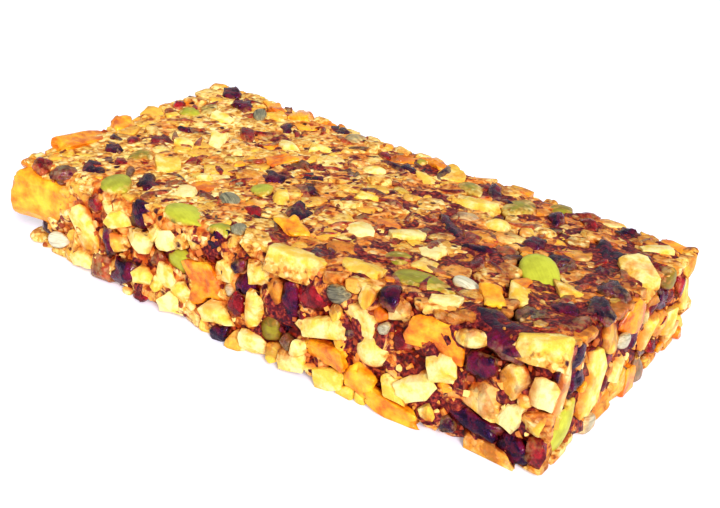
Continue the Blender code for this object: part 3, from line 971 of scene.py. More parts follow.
class Heap:
    """Copies of unit forms, gathered into one mesh."""

    def __init__(self, name: str, units: Sequence[bpy.types.Mesh] = ()) -> None:
        """Starts an empty heap.

        Args:
            name: the finished piece's name.
            units: the unit forms to copy, if any.
        """
        self.name = name
        self.units = units
        self.bm = bmesh.new()
        self.local = self.bm.verts.layers.float_vector.new("local")
        self.tone = self.bm.verts.layers.float_color.new("tone")
        self.fresh: list[bmesh.types.BMFace] = []

    def add(self, piece: Placed, which: int) -> None:
        """Adds a copy of a unit form.

        Args:
            piece: where the copy is placed, and its tone.
            which: the number of the unit form, counted round.
        """
        copy = self.units[which % len(self.units)].copy()
        copy.transform(piece.matrix)
        tone = np.tile(np.array(piece.tone, dtype=np.float32), len(copy.vertices))
        copy.attributes["tone"].data.foreach_set("color", tone)
        self.bm.from_mesh(copy)
        bpy.data.meshes.remove(copy)

    def add_chip(self, chip: "Chip") -> None:
        """Adds a chip: its rings of points, joined by faces from its foot to its middle.

        Args:
            chip: the chip.
        """
        rings = []
        for points in chip.points():
            ring = []
            for point in points:
                origin, normal, _ = FORM.frame(chip.face, point.x, point.y)
                vertex = self.bm.verts.new(origin + normal * point.z)
                flat = (point.xy - chip.place) / chip.radius
                vertex[self.local] = Vector((flat.x, flat.y, 1 + (point.z - chip.level) / chip.radius))
                vertex[self.tone] = chip.tone
                ring.append(vertex)
            rings.append(ring)
        foot, *_, rim, inner, (middle,) = rings
        faces = [self.bm.faces.new(foot)]
        for lower, upper in zip(rings, rings[1:-2]):
            for i, vertex in enumerate(lower):
                after = (i + 1) % len(lower)
                faces.append(self.bm.faces.new((vertex, lower[after], upper[after], upper[i])))
        count = len(inner)
        for i, vertex in enumerate(inner):
            after = inner[(i + 1) % count]
            here, between, far = (rim[(2 * i + k) % len(rim)] for k in range(3))
            faces.append(self.bm.faces.new((here, between, vertex)))
            faces.append(self.bm.faces.new((between, far, after, vertex)))
            faces.append(self.bm.faces.new((vertex, after, middle)))
        for face in faces:
            face.smooth = True
        self.fresh += faces

    def finish(self, material: bpy.types.Material) -> bpy.types.Object:
        """Turns the heap into a piece of the scene, in metres.

        Args:
            material: its finish.

        Returns:
            The piece.
        """
        bmesh.ops.recalc_face_normals(self.bm, faces=self.fresh)
        return add_piece(self.name, to_mesh(self.bm, self.name), material)


def add_piece(name: str, mesh: bpy.types.Mesh, material: bpy.types.Material) -> bpy.types.Object:
    """Measures a mesh's depth in the bar, keeps it inside the pan, in metres, and rides it on the bar.

    Args:
        name: the piece's name.
        mesh: its mesh, in millimetres.
        material: its finish.

    Returns:
        The piece.
    """
    points = np.empty(len(mesh.vertices) * 3)
    mesh.vertices.foreach_get("co", points)
    points = points.reshape(-1, 3)
    depth = mesh.attributes.new("depth", "FLOAT", "POINT")
    depth.data.foreach_set("value", FORM.depth(points).astype(np.float32))
    far = np.array(FORM.pan)
    points = np.clip(points, far * (-1, -1, 0), far)
    mesh.vertices.foreach_set("co", (points * MM).ravel())
    mesh.update()
    mesh.materials.append(material)
    piece = bpy.data.objects.new(name, mesh)
    bpy.context.scene.collection.objects.link(piece)
    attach(piece, BODY)
    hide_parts(NODE)
    LOG.info("%s: %d triangles", name, sum(len(p.vertices) - 2 for p in mesh.polygons))
    return piece


@dataclass(frozen=True)
class Binder:
    """The sticky core that the pieces are sunk in."""

    step: float = 5.4
    splits: int = 6
    radius: float = 1.8
    top_sink: float = 0.2
    side_sink: float = 0.95
    under_sink: float = 0.3
    swell: float = 0.9
    swell_scale: float = 0.16
    grain: float = 0.9
    grain_scale: float = 0.55
    calm: float = 0.4

    def point(self, unit: Vector) -> Vector:
        """Where a point of the plain unit slab lies on the worn, bowed and bumpy core.

        Args:
            unit: the point, up to half a unit out each way.

        Returns:
            Its place, in millimetres.
        """
        sinks = Vector((self.side_sink, self.side_sink, self.top_sink))
        half = Vector((FORM.length, FORM.width, FORM.lowest)) / 2 - sinks
        full = Vector([2 * c * h for c, h in zip(unit, half)])
        pairs = zip(full, half)
        inner = Vector([max(self.radius - h, min(h - self.radius, c)) for c, h in pairs])
        out = (full - inner).normalized()
        rounded = inner + out * self.radius
        along, across = rounded.x, rounded.y + FORM.width / 2
        low = self.under_sink + FORM.worn(along, across)
        high = FORM.height(along, across) - self.top_sink
        up = low + (high - low) * (rounded.z / (2 * half.z) + 0.5)
        bow = FORM.bow(along, up) * (1 - across / FORM.width)
        place = Vector((along, across, up))
        bump = noise.noise(place * self.swell_scale) * self.swell
        rough = noise.fractal(place * self.grain_scale, 0.9, 2.2, 4) * self.grain
        calm = self.calm if abs(out.z) > 0.5 else 1.0
        placed = Vector((along, FORM.edge + across - bow, up)) + out * (bump * calm + rough * calm)
        if out.z > 0.5:
            placed.z -= FORM.cracked(along, across)
        return placed

    def make(self) -> bpy.types.Mesh:
        """Makes the core.

        Returns:
            Its mesh, in millimetres.
        """
        bm = block(1.0)
        for axis, size in enumerate((FORM.length, FORM.width, FORM.lowest)):
            steps = max(3, round(size / self.step))
            normal = Vector([float(i == axis) for i in range(3)])
            for i in range(1, steps):
                parts = [*bm.verts, *bm.edges, *bm.faces]
                spot = normal * (i / steps - 0.5)
                bmesh.ops.bisect_plane(bm, geom=parts, plane_co=spot, plane_no=normal)
        splits = self.splits
        bmesh.ops.subdivide_edges(bm, edges=bm.edges, cuts=splits, use_grid_fill=True)
        for vertex in bm.verts:
            vertex.co = self.point(vertex.co)
        bmesh.ops.recalc_face_normals(bm, faces=bm.faces)
        for face in bm.faces:
            face.smooth = True
        return to_mesh(bm, "binder")


def clipped(outline: list[Vector], normal: Vector, reach: float) -> list[Vector]:
    """A convex outline, round its own middle, cut off by a straight line.

    Args:
        outline: its corners.
        normal: the way the cut looks.
        reach: the cut's distance from the middle.

    Returns:
        The corners of what is left.
    """
    kept = []
    for here, after in zip(outline, outline[1:] + outline[:1]):
        gap, gap_after = here.dot(normal) - reach, after.dot(normal) - reach
        if gap <= 0:
            kept.append(here)
        if gap * gap_after < 0:
            kept.append(here.lerp(after, gap / (gap - gap_after)))
    return kept


def rounded(outline: list[Vector], share: float) -> list[Vector]:
    """An outline with its corners cut off.

    Args:
        outline: its corners.
        share: the share of each side that a cut takes.

    Returns:
        The corners of what is left.
    """
    made = []
    for here, after in zip(outline, outline[1:] + outline[:1]):
        made += [here.lerp(after, share), here.lerp(after, 1 - share)]
    return made


@dataclass(frozen=True)
class Footprint:
    """The room that one of the solid's pieces takes on a face: an ellipse."""

    place: Vector
    inverse: Matrix
    reach: float

    @classmethod
    def on(cls, face: Face, piece: Placed, slack: float = 0.9) -> "Footprint | None":
        """The footprint of a piece on a face.

        Args:
            face: the face.
            piece: the piece.
            slack: how far under the face the piece may end.

        Returns:
            The footprint, or nothing where the piece doesn't come up to the face.
        """
        first, second, below = FORM.seen_from(face, piece.matrix.translation)
        axes = FORM.axes(face)
        rows = [Vector(piece.matrix[axis][:3]) for axis in axes]
        rise = Vector(piece.matrix[3 - sum(axes)][:3]).length
        if below > rise + slack:
            return None
        spread = Matrix([[a.dot(b) for b in rows] for a in rows])
        reach = math.sqrt(spread[0][0] + spread[1][1])
        return cls(Vector((first, second)), spread.inverted(), reach)

    def gap(self, place: Vector) -> tuple[float, Vector]:
        """How far a place is outside the ellipse.

        Args:
            place: the place.

        Returns:
            The distance, and the way from the place into the ellipse.
        """
        away = place - self.place
        steep = self.inverse @ away
        level = math.sqrt(max(1e-6, away.dot(steep)))
        return (level - 1) * level / max(1e-6, steep.length), -steep.normalized()


@dataclass(frozen=True)
class Chip:
    """A chopped piece wedged between its neighbours: its outline on the face, and its relief."""

    kind: Kind
    face: Face
    place: Vector
    radius: float
    outline: list[Vector]
    level: float
    tilts: list[Vector]
    tone: Tone
    foot: float

    def relief(self, spot: Vector) -> float:
        """Height of the chip's outer side over its level.

        Args:
            spot: the spot, from the chip's middle.

        Returns:
            The height.
        """
        rise = min(tilt.dot(spot) for tilt in self.tilts)
        rough = noise.noise(Vector((*(self.place + spot), 0.0)) * 0.9)
        dome = self.radius * (1 - spot.length_squared / self.radius**2)
        if self.kind in BERRIES:
            fold = abs(noise.noise(Vector((*(self.place + spot), 3.0)) * 1.15))
            return 0.5 * rise + 0.25 * dome - 1.1 * fold + 0.2 * rough
        if self.kind in SEEDS:
            return 0.5 * rise + 0.22 * dome
        return rise + 0.22 * rough

    def rings(self) -> tuple[Pair, ...]:
        """Inset from the outline and height, in millimetres, from the chip's buried foot up to its rim."""
        soft = 1.0 if self.kind == Kind.NUT else 2.2
        return ((0.45, -self.foot), (0.0, -0.55), (0.035 * soft, -0.1 * soft), (0.15 * soft, 0.0))

    def points(self) -> list[list[Vector]]:
        """The chip's points, as first, second and height on the face.

        Returns:
            Rings of points from its foot inwards, and its middle point last.
        """
        made = []
        for inset, drop in self.rings():
            ring = []
            for corner in self.outline:
                spot = corner * max(0.35, 1 - inset / max(0.3, corner.length))
                lift = self.relief(spot) if drop > -self.foot else 0.0
                ring.append(Vector((*(self.place + spot), self.level + drop + lift)))
            made.append(ring)
        inner = [corner * 0.5 for corner in self.outline[::2]]
        made.append([Vector((*(self.place + s), self.level + self.relief(s))) for s in inner])
        made.append([Vector((*self.place, self.level + self.relief(Vector((0, 0)))))])
        return made


def room_round(face: Face, place: Vector) -> tuple[tuple[Vector, float], ...]:
    """How far a place on a face is from each of the face's four borders.

    Args:
        face: the face.
        place: the place.

    Returns:
        The way to each border, and how far it is.
    """
    start, stop = FORM.span(face)
    low, high = FORM.limits(face, place.x)
    return (
        (Vector((1, 0)), stop - place.x),
        (Vector((-1, 0)), place.x - start),
        (Vector((0, 1)), high - place.y),
        (Vector((0, -1)), place.y - low),
    )


@dataclass(frozen=True)
class Packing:
    """How the chips of a pressed or a cut face are mixed, and how they lie."""

    shares: Shares
    level: Pair
    tilt: float
    foot: float


class Cells:
    """What is there on a face, in square cells, so that what lies near a place is soon found."""

    def __init__(self, side: float) -> None:
        """Starts with nothing there.

        Args:
            side: the side of a cell, in millimetres.
        """
        self.side = side
        self.kept: dict[tuple[int, int], list] = {}

    def key(self, first: float, second: float) -> tuple[int, int]:
        """The cell of a place."""
        return math.floor(first / self.side), math.floor(second / self.side)

    def keep(self, first: float, second: float, item: tuple) -> None:
        """Keeps an item in the cell of its place."""
        self.kept.setdefault(self.key(first, second), []).append(item)

    def near(self, first: float, second: float) -> list:
        """The items in the cell of a place and in the eight cells round it."""
        column, row = self.key(first, second)
        keys = [(column + i, row + j) for i in (-1, 0, 1) for j in (-1, 0, 1)]
        return [item for key in keys for item in self.kept.get(key, ())]


@dataclass(frozen=True)
class Mosaic:
    """Chips of the mix, packed side by side over each face in the room that the solid's pieces leave."""

    pressed: Packing
    cut: Packing
    seed: int = 31
    radii: tuple[float, ...] = (2.5, 2.1, 1.75, 1.4, 1.1, 0.85)
    throws: float = 0.42
    cell: float = 5.0
    room: float = 0.84
    border: float = 0.4
    clearance: float = 0.62
    overlap: float = 0.25
    gap: Pair = (0.02, 0.14)
    spread: float = 1.35
    neighbours: float = 2.4
    uneven: Pair = (0.85, 1.15)
    ragged: Pair = (-0.25, 0.35)
    smallest: float = 0.45
    corner: Pair = (0.1, 0.22)
    edge_drop: float = 0.55
    edge_reach: float = 1.3

    def crowded(self, place: Vector, radius: float, near: list, prints: list[Footprint]) -> bool:
        """Whether a chip would lie too close to others or to the solid's pieces.

        Args:
            place: its place on the face.
            radius: its radius.
            near: the places and radii of the chips near it.
            prints: the footprints of the solid's pieces.

        Returns:
            Whether there is too little room for it.
        """
        if any((place - other).length < self.room * (radius + reach) for other, reach in near):
            return True
        close = (p for p in prints if (p.place - place).length < p.reach + radius)
        return any(p.gap(place)[0] < radius * self.clearance for p in close)

    def sites(self, face: Face, prints: list[Footprint], draw: random.Random) -> list[Site]:
        """Places and radii on a face, the largest first, that keep clear of what is there.

        Args:
            face: the face.
            prints: the footprints of the solid's pieces.
            draw: the random numbers.

        Returns:
            The place and radius of each chip to be made.
        """
        start, stop = FORM.span(face)
        tall = FORM.width if face in PRESSED else FORM.front_right
        made = []
        cells = Cells(self.cell)
        for radius in self.radii:
            for _ in range(int((stop - start) * tall * self.throws / radius)):
                place = Vector((draw.uniform(start, stop), draw.uniform(0, tall)))
                low, high = FORM.limits(face, place.x)
                if not low + self.border * radius < place.y < high - self.border * radius:
                    continue
                if not self.crowded(place, radius, cells.near(*place), prints):
                    cells.keep(*place, (place, radius))
                    made.append((place, radius))
        return made

    def outline(
        self, site: Site, near: list[Site], prints: list[Footprint], face: Face, draw: random.Random
    ) -> list[Vector]:
        """The outline of the chip at a site, round its middle.

        Args:
            site: its place and radius.
            near: the sites near it.
            prints: the footprints of the solid's pieces near it.
            face: its face.
            draw: the random numbers.

        Returns:
            Its corners, or none where too little room is left.
        """
        place, radius = site
        count = draw.randint(5, 7)
        start = draw.uniform(0, math.tau)
        turns = [start + math.tau * (i + draw.uniform(-0.3, 0.3)) / count for i in range(count)]
        full = radius * self.spread
        corners = [Vector((math.cos(t), math.sin(t))) * full * draw.uniform(*self.uneven) for t in turns]
        for other, other_radius in near:
            away = other - place
            reach = (away.length_squared + radius**2 - other_radius**2) / (2 * away.length)
            corners = clipped(corners, away.normalized(), reach - draw.uniform(*self.gap))
        for piece in prints:
            gap, way = piece.gap(place)
            if gap < full * 1.2:
                corners = clipped(corners, way, gap + self.overlap)
        ragged = draw.uniform(*self.ragged)
        for way, reach in room_round(face, place):
            corners = clipped(corners, way, reach - ragged)
        if len(corners) < 3 or sum(c.length for c in corners) / len(corners) < self.smallest:
            return []
        return rounded(corners, draw.uniform(*self.corner))

    def chip(
        self, face: Face, site: Site, outline: list[Vector], juice: Callable, draw: random.Random
    ) -> Chip:
        """The chip at a site.

        Args:
            face: its face.
            site: its place and radius.
            outline: its corners, round its middle.
            juice: how strongly fruit juice stains a place in the bar.
            draw: the random numbers.

        Returns:
            The chip.
        """
        place, radius = site
        packing = self.pressed if face in PRESSED else self.cut
        border = min(reach for _, reach in room_round(face, place))
        level = draw.uniform(*packing.level) - self.edge_drop * max(0.0, 1 - border / self.edge_reach)
        steep = packing.tilt
        count = draw.randint(1, 3)
        tilts = [Vector((draw.uniform(-steep, steep), draw.uniform(-steep, steep))) for _ in range(count)]
        tone = (*tone_for(face, draw), juice(FORM.frame(face, *place)[0]))
        kind = pick(packing.shares, draw)
        return Chip(kind, face, place, radius, outline, level, tilts, tone, packing.foot)

    def chips(self, placed: list[Placed], juice: Callable) -> list[Chip]:
        """All chips.

        Args:
            placed: the solid's pieces.
            juice: how strongly fruit juice stains a place in the bar.

        Returns:
            The chips of every face.
        """
        draw = random.Random(self.seed)
        made = []
        for face in Face:
            prints = [p for p in (Footprint.on(face, piece) for piece in placed) if p]
            sites = self.sites(face, prints, draw)
            for place, radius in sites:
                others = (s for s in sites if s[0] is not place)
                near = [s for s in others if (s[0] - place).length < self.neighbours * (radius + s[1])]
                close = [p for p in prints if (p.place - place).length < p.reach + 2 * radius]
                outline = self.outline((place, radius), near, close, face, draw)
                if outline:
                    made.append(self.chip(face, (place, radius), outline, juice, draw))
        return made


MOSAIC = Mosaic(
    pressed=Packing(
        shares={
            Kind.NUT: 0.74,
            Kind.CHERRY: 0.05,
            Kind.CRANBERRY: 0.08,
            Kind.APRICOT: 0.08,
            Kind.PEPITA: 0.03,
            Kind.SUNFLOWER: 0.02,
        },
        level=(-0.42, 0.08),
        tilt=0.09,
        foot=1.3,
    ),
    cut=Packing(
        shares={
            Kind.NUT: 0.75,
            Kind.CHERRY: 0.09,
            Kind.CRANBERRY: 0.07,
            Kind.APRICOT: 0.05,
            Kind.PEPITA: 0.02,
            Kind.SUNFLOWER: 0.02,
        },
        level=(-1.5, 0.35),
        tilt=0.5,
        foot=2.4,
    ),
)


@dataclass(frozen=True)
class Scatter:
    """Small bits, dropped onto each face from outside so that each lies on what carries it."""

    seed: int
    tries: dict[Face, int]
    length: Pair
    shares: Shares
    depth: Pair
    sunk: float
    spacing: float = 0.75
    slim: Pair = (0.6, 0.95)
    flatness: float = 0.8
    lean: float = 25.0
    proud: float = 0.3
    start: float = 4.0
    margin: float = 0.0
    cell: float = 3.0

    def spot(self, face: Face, draw: random.Random) -> Pair:
        """A place drawn evenly over a face.

        Args:
            face: the face.
            draw: the random numbers.

        Returns:
            Its two coordinates.
        """
        start, stop = FORM.span(face)
        first = draw.uniform(start + self.margin, stop - self.margin)
        low, high = FORM.limits(face, first)
        return first, draw.uniform(low + self.margin, high - self.margin)

    def drop(self, carriers: BVHTree) -> list[Placed]:
        """The bits that found a place.

        Args:
            carriers: what they may lie on, in millimetres.

        Returns:
            The placed bits.
        """
        draw = random.Random(self.seed)
        placed = []
        for face, tries in self.tries.items():
            cells = Cells(self.cell)
            for _ in range(tries):
                first, second = self.spot(face, draw)
                length = draw.uniform(*self.length)
                gap = self.spacing * length
                near = cells.near(first, second)
                if any(math.hypot(p[0] - first, p[1] - second) < (gap + p[2]) / 2 for p in near):
                    continue
                origin, normal, along = FORM.frame(face, first, second)
                outside = origin + normal * self.start
                hit, _, _, distance = carriers.ray_cast(outside, -normal, 3 * self.start)
                if hit is None or not self.depth[0] < distance - self.start < self.depth[1]:
                    continue
                cells.keep(first, second, (first, second, gap))
                width = length * draw.uniform(*self.slim)
                thick = width * self.flatness
                rise = thick * (0.5 - self.sunk)
                rise = min(rise, distance - self.start + self.proud - thick / 2)
                turned = leaned(normal, along, draw.uniform(0, math.tau), math.radians(self.lean), draw)
                half = Matrix.Diagonal((length / 2, width / 2, thick / 2, 1.0))
                matrix = Matrix.Translation(hit + normal * rise) @ turned @ half
                kind = pick(self.shares, draw)
                placed.append(Placed(kind, face, matrix, length, tone=(*tone_for(face, draw), 0.0)))
        return placed


SHREDS = Scatter(
    seed=41,
    tries={Face.TOP: 200, Face.END: 14, Face.UNDER: 60},
    length=(2.5, 7.5),
    shares={Kind.CHERRY: 0.3, Kind.CRANBERRY: 0.7},
    depth=(-0.3, 1.8),
    sunk=0.7,
    spacing=0.7,
    slim=(0.16, 0.34),
    lean=4.0,
    margin=3.5,
)
CRUMBS = Scatter(
    seed=37,
    tries={Face.TOP: 500, Face.FRONT: 600, Face.END: 300, Face.BACK: 450, Face.LEFT: 250, Face.UNDER: 250},
    length=(0.5, 1.3),
    shares={Kind.NUT: 1.0},
    depth=(0.7, 3.5),
    sunk=0.42,
)


def juices(placed: list[Placed]) -> Callable:
    """How the dark fruit's juice spreads.

    Args:
        placed: the solid's pieces.

    Returns:
        A function that gives, for a place in the bar, how close it is to dark fruit, from 0 to 1.
    """
    fruit = [p for p in placed if p.kind in BERRIES]
    tree = KDTree(len(fruit))
    for index, piece in enumerate(fruit):
        tree.insert(piece.matrix.translation, index)
    tree.balance()

    def juice(place: Vector) -> float:
        """How close a place is to dark fruit."""
        _, index, away = tree.find(place)
        return max(0.0, min(1.0, 1.35 - away / (1.1 * fruit[index].length)))

    return juice


GLAZE_FLAT = (0.35, 0.95)
GLAZE_CUT = (0.0, 0.8)


def tone_for(face: Face, draw: random.Random) -> tuple[float, float, float]:
    """A piece's shade, how much caramel coats it, and its own offset."""
    glaze = draw.uniform(*(GLAZE_FLAT if face in PRESSED else GLAZE_CUT))
    return draw.random(), glaze, draw.random()


CARAMEL = (
    (0.35, linear(148, 76, 24)),
    (0.44, linear(206, 138, 50)),
    (0.52, linear(232, 182, 88)),
    (0.62, linear(248, 222, 154)),
)
GROUND = (
    (0.0, linear(252, 232, 164)),
    (0.22, linear(232, 180, 90)),
    (0.48, linear(246, 212, 128)),
    (0.7, linear(210, 136, 54)),
    (0.86, linear(164, 76, 36)),
    (0.95, linear(66, 16, 36)),
)
PULP = ((0.34, linear(46, 6, 26)), (0.5, linear(104, 22, 34)), (0.64, linear(170, 70, 48)))


class Recipe:
    """One finish: a material's node tree, and the steps that the finishes share."""

    def __init__(self, name: str) -> None:
        """Starts a material.

        Args:
            name: the finish's name.
        """
        self.material = bpy.data.materials.new(name)
        self.material.use_nodes = True
        self.tree = self.material.node_tree
        self.shader = self.tree.nodes["Principled BSDF"]
        self.place = self.node("ShaderNodeTexCoord").outputs["Object"]
        self.tone = self.split("ShaderNodeSeparateColor", self.attribute("tone", "Color"))
        self.local_vector = self.attribute("local", "Vector")
        self.local = self.split("ShaderNodeSeparateXYZ", self.local_vector)
        self.juice = self.attribute("tone", "Alpha")
        self.depth = self.attribute("depth", "Fac")

    def feed(self, node: bpy.types.Node, inputs: Inputs) -> None:
        """Links or sets some of a node's sockets.

        Args:
            node: the node.
            inputs: the link or the value for each socket, by the socket's name or number.
        """
        for key, value in inputs.items():
            socket = node.inputs[key]
            if isinstance(value, Socket):
                self.tree.links.new(value, socket)
            elif socket.type == "RGBA" and len(value) == 3:
                socket.default_value = (*value, 1.0)
            else:
                socket.default_value = value

    def node(self, kind: str, inputs: Inputs | None = None, **settings: object) -> bpy.types.Node:
        """A new node.

        Args:
            kind: its type.
            inputs: the link or the value for some of its sockets.
            settings: its settings.

        Returns:
            The node.
        """
        made = self.tree.nodes.new(kind)
        for name, value in settings.items():
            setattr(made, name, value)
        self.feed(made, inputs or {})
        return made

    def attribute(self, name: str, output: str) -> Socket:
        """A mesh attribute's output."""
        return self.node("ShaderNodeAttribute", attribute_name=name).outputs[output]

    def split(self, kind: str, value: Socket) -> list[Socket]:
        """A colour's or a vector's three parts."""
        return list(self.node(kind, {0: value}).outputs)

    def math(self, operation: str, first: Value, second: Value) -> Socket:
        """One sum on two numbers."""
        return self.node("ShaderNodeMath", {0: first, 1: second}, operation=operation).outputs[0]

    def plus(self, *parts: Value) -> Socket:
        """The sum of some numbers."""
        return reduce(lambda total, part: self.math("ADD", total, part), parts)

    def times(self, first: Value, second: Value) -> Socket:
        """The product of two numbers."""
        return self.math("MULTIPLY", first, second)

    def noise(
        self,
        pitch: float,
        detail: float = 3.0,
        rough: float = 0.55,
        twist: float = 0.0,
        at: Socket | None = None,
    ) -> Socket:
        """Noise over the piece.

        Args:
            pitch: the size of its patches, in millimetres, or in half pieces where at is given.
            detail: how many finer layers it has.
            rough: how strong those layers are.
            twist: how much it is drawn out of shape.
            at: where it is read, if not at the place in the bar.

        Returns:
            The noise, about 0 to 1.
        """
        scale = 1.0 / pitch if at else 1.0 / (pitch * MM)
        inputs = {"Vector": at or self.place, "Scale": scale, "Detail": detail}
        inputs |= {"Roughness": rough, "Distortion": twist}
        return self.node("ShaderNodeTexNoise", inputs).outputs["Fac"]

    def cells(self, pitch: float) -> tuple[Socket, Socket]:
        """Voronoi cells of a pitch in millimetres: a random number for each, and the way to its middle."""
        made = self.node("ShaderNodeTexVoronoi", {"Vector": self.place, "Scale": 1.0 / (pitch * MM)})
        return self.split("ShaderNodeSeparateColor", made.outputs["Color"])[0], made.outputs["Distance"]

    def band(self, value: Socket, low: float, high: float) -> Socket:
        """A smooth step, up or down.

        Args:
            value: the number.
            low: where the step is 0.
            high: where the step is 1, above or below low.

        Returns:
            The step, 0 to 1.
        """
        inputs = {"Value": value, "From Min": min(low, high), "From Max": max(low, high)}
        inputs |= {"To Min": float(low > high), "To Max": float(low < high)}
        return self.node("ShaderNodeMapRange", inputs, interpolation_type="SMOOTHSTEP").outputs[0]

    def blend(self, factor: Value, first: Value, second: Value, mode: str = "MIX") -> Socket:
        """A mix of two colours."""
        inputs = {0: factor, 6: first, 7: second}
        return self.node("ShaderNodeMix", inputs, data_type="RGBA", blend_type=mode).outputs[2]

    def ramp(self, factor: Socket, stops: Stops, flat: bool = False) -> Socket:
        """Colours along a number.

        Args:
            factor: the number, from 0 to 1.
            stops: where each colour stands, and the colour.
            flat: whether each colour holds up to the next stop.

        Returns:
            The colour.
        """
        made = self.node("ShaderNodeValToRGB", {0: factor})
        made.color_ramp.interpolation = "CONSTANT" if flat else "LINEAR"
        elements = made.color_ramp.elements
        while len(elements) < len(stops):
            elements.new(0.5)
        for element, (place, colour) in zip(elements, stops):
            element.position = place
            element.color = (*colour, 1.0)
        return made.outputs[0]

    def bump(self, height: Socket, distance: float, strength: float) -> None:
        """Raises the surface by a height, its distance in millimetres."""
        inputs = {"Height": height, "Distance": distance * MM, "Strength": strength}
        self.feed(self.shader, {"Normal": self.node("ShaderNodeBump", inputs).outputs["Normal"]})

    def mix(self) -> tuple[Socket, Socket]:
        """Caramel full of ground nut and fruit, mottled cell by cell.

        Returns:
            Its colour and its relief.
        """
        caramel = self.ramp(self.noise(1.2, detail=5.0, rough=0.62, twist=0.5), CARAMEL)
        which, away = self.cells(1.05)
        ground = self.ramp(which, GROUND, flat=True)
        colour = self.blend(self.band(away, 0.66, 0.3), caramel, ground)
        return colour, self.math("SUBTRACT", 1.0, away)

    def coat(self, colour: Socket, amount: float = 1.0) -> Socket:
        """Caramel on a piece's buried sides and in patches over it, by its own glaze.

        Args:
            colour: the piece's own colour.
            amount: how strongly the caramel covers it.

        Returns:
            The coated colour.
        """
        patches = self.times(self.plus(self.noise(1.3, detail=5.0, rough=0.62), -0.5), 2.4)
        glaze = self.times(self.tone[1], -1.5)
        bare = self.plus(self.local[2], patches, glaze, self.times(self.juice, -0.3))
        rim = self.times(self.band(bare, 0.75, 0.0), 0.42 * amount)
        colour = self.blend(rim, colour, linear(242, 192, 104), "MULTIPLY")
        cover = self.times(self.band(bare, 0.3, -0.3), amount)
        return self.blend(cover, colour, self.mix()[0])

    def stain(self, colour: Socket, amount: float = 1.0, deep: float = 1.0) -> Socket:
        """Red and purple juice round the dark fruit, and in smears that grow towards the right end.

        Args:
            colour: the colour under the juice.
            amount: how strong the whole stain is.
            deep: how strong its dark part is.

        Returns:
            The stained colour.
        """
        east = self.split("ShaderNodeSeparateXYZ", self.place)[0]
        lean = self.plus(self.times(east, 2.3), self.times(self.juice, 0.22), self.times(self.depth, 0.05))
        red = self.band(self.plus(self.noise(7.5, detail=5.0, rough=0.62, twist=0.6), lean), 0.62, 0.76)
        dark = self.band(self.plus(self.noise(4.6, detail=5.0, rough=0.64, twist=0.8), lean), 0.72, 0.79)
        colour = self.blend(self.times(red, 0.65 * amount), colour, linear(232, 148, 78), "MULTIPLY")
        pulp = self.ramp(self.noise(0.6, detail=4.0, rough=0.6), PULP)
        return self.blend(self.times(dark, deep * amount), colour, pulp)

    def painted_gap_shade(self, colour: Socket) -> Socket:
        """Painted shade: orange-brown, then almost black, where the surface lies deep between the pieces.

        Args:
            colour: the colour of the surface.

        Returns:
            The colour with the painted shade.
        """
        # Painted shade: the deeper the surface lies below the bar's outer faces, the darker it is painted.
        down = self.plus(self.depth, self.times(self.plus(self.noise(1.1), -0.5), 0.8))
        colour = self.blend(self.band(down, 0.55, 1.4), colour, linear(208, 130, 62), "MULTIPLY")
        return self.blend(self.band(down, 1.25, 2.5), colour, linear(56, 12, 8))

    def finish(self, inputs: Inputs) -> bpy.types.Material:
        """Feeds the shader's sockets and returns the material."""
        self.feed(self.shader, inputs)
        return self.material


@dataclass(frozen=True)
class NutFinish:
    """Cream chopped nut: pale to yellow, a brown skin on a few, caramel where it is stuck."""

    pale: Colour = linear(255, 238, 168)
    yellow: Colour = linear(246, 206, 80)
    amber: Colour = linear(234, 180, 84)
    skin: Colour = linear(222, 150, 74)
    roughness: float = 0.4
    glow: float = 0.08

    def make(self) -> bpy.types.Material:
        """Makes the finish.

        Returns:
            The material.
        """
        recipe = Recipe("nut")
        shade = recipe.plus(recipe.noise(1.9, detail=4.0, rough=0.6), recipe.times(recipe.tone[0], 0.42))
        colour = recipe.ramp(shade, ((0.5, self.pale), (0.72, self.yellow), (0.98, self.amber)))
        ragged = recipe.noise(1.1, detail=5.0, rough=0.65)
        side = recipe.band(recipe.plus(recipe.local[1], ragged), 0.75, 1.35)
        skinned = recipe.times(recipe.band(recipe.tone[2], 0.55, 0.9), side)
        colour = recipe.blend(skinned, colour, self.skin)
        recipe.bump(recipe.noise(0.34, detail=5.0, rough=0.68), distance=0.3, strength=0.85)
        inputs = {
            "Base Color": recipe.painted_gap_shade(recipe.stain(recipe.coat(colour), 0.9, 0.45)),
            "Roughness": self.roughness,
            "Specular IOR Level": 0.22,
            "Subsurface Weight": self.glow,
            "Subsurface Radius": (1.0, 0.6, 0.25),
            "Subsurface Scale": 0.9 * MM,
        }
        return recipe.finish(inputs)


@dataclass(frozen=True)
class FruitFinish:
    """Dried fruit: a dark, shiny, wrinkled skin with a bloom where it catches the light."""

    name: str
    dark: Colour
    light: Colour
    bloom: Colour
    roughness: float
    coated: float
    wet: float = 0.25

    def make(self) -> bpy.types.Material:
        """Makes the finish.

        Returns:
            The material.
        """
        recipe = Recipe(self.name)
        patches = recipe.noise(1.7, detail=4.0, rough=0.6, twist=0.5)
        # Lighter and redder towards each piece's lower sides and edges, darker over its top.
        shade = recipe.plus(patches, recipe.times(recipe.local[2], -0.12))
        colour = recipe.ramp(shade, ((0.33, self.dark), (0.58, self.light)))
        recipe.bump(recipe.noise(0.9, detail=4.0, rough=0.6, twist=0.4), distance=0.6, strength=0.9)
        inputs = {
            "Base Color": recipe.painted_gap_shade(recipe.coat(colour, self.coated)),
            "Roughness": self.roughness,
            "Specular IOR Level": 0.6,
            "Specular Tint": self.bloom,
            "Coat Weight": self.wet,
            "Coat Roughness": 0.16,
        }
        return recipe.finish(inputs)


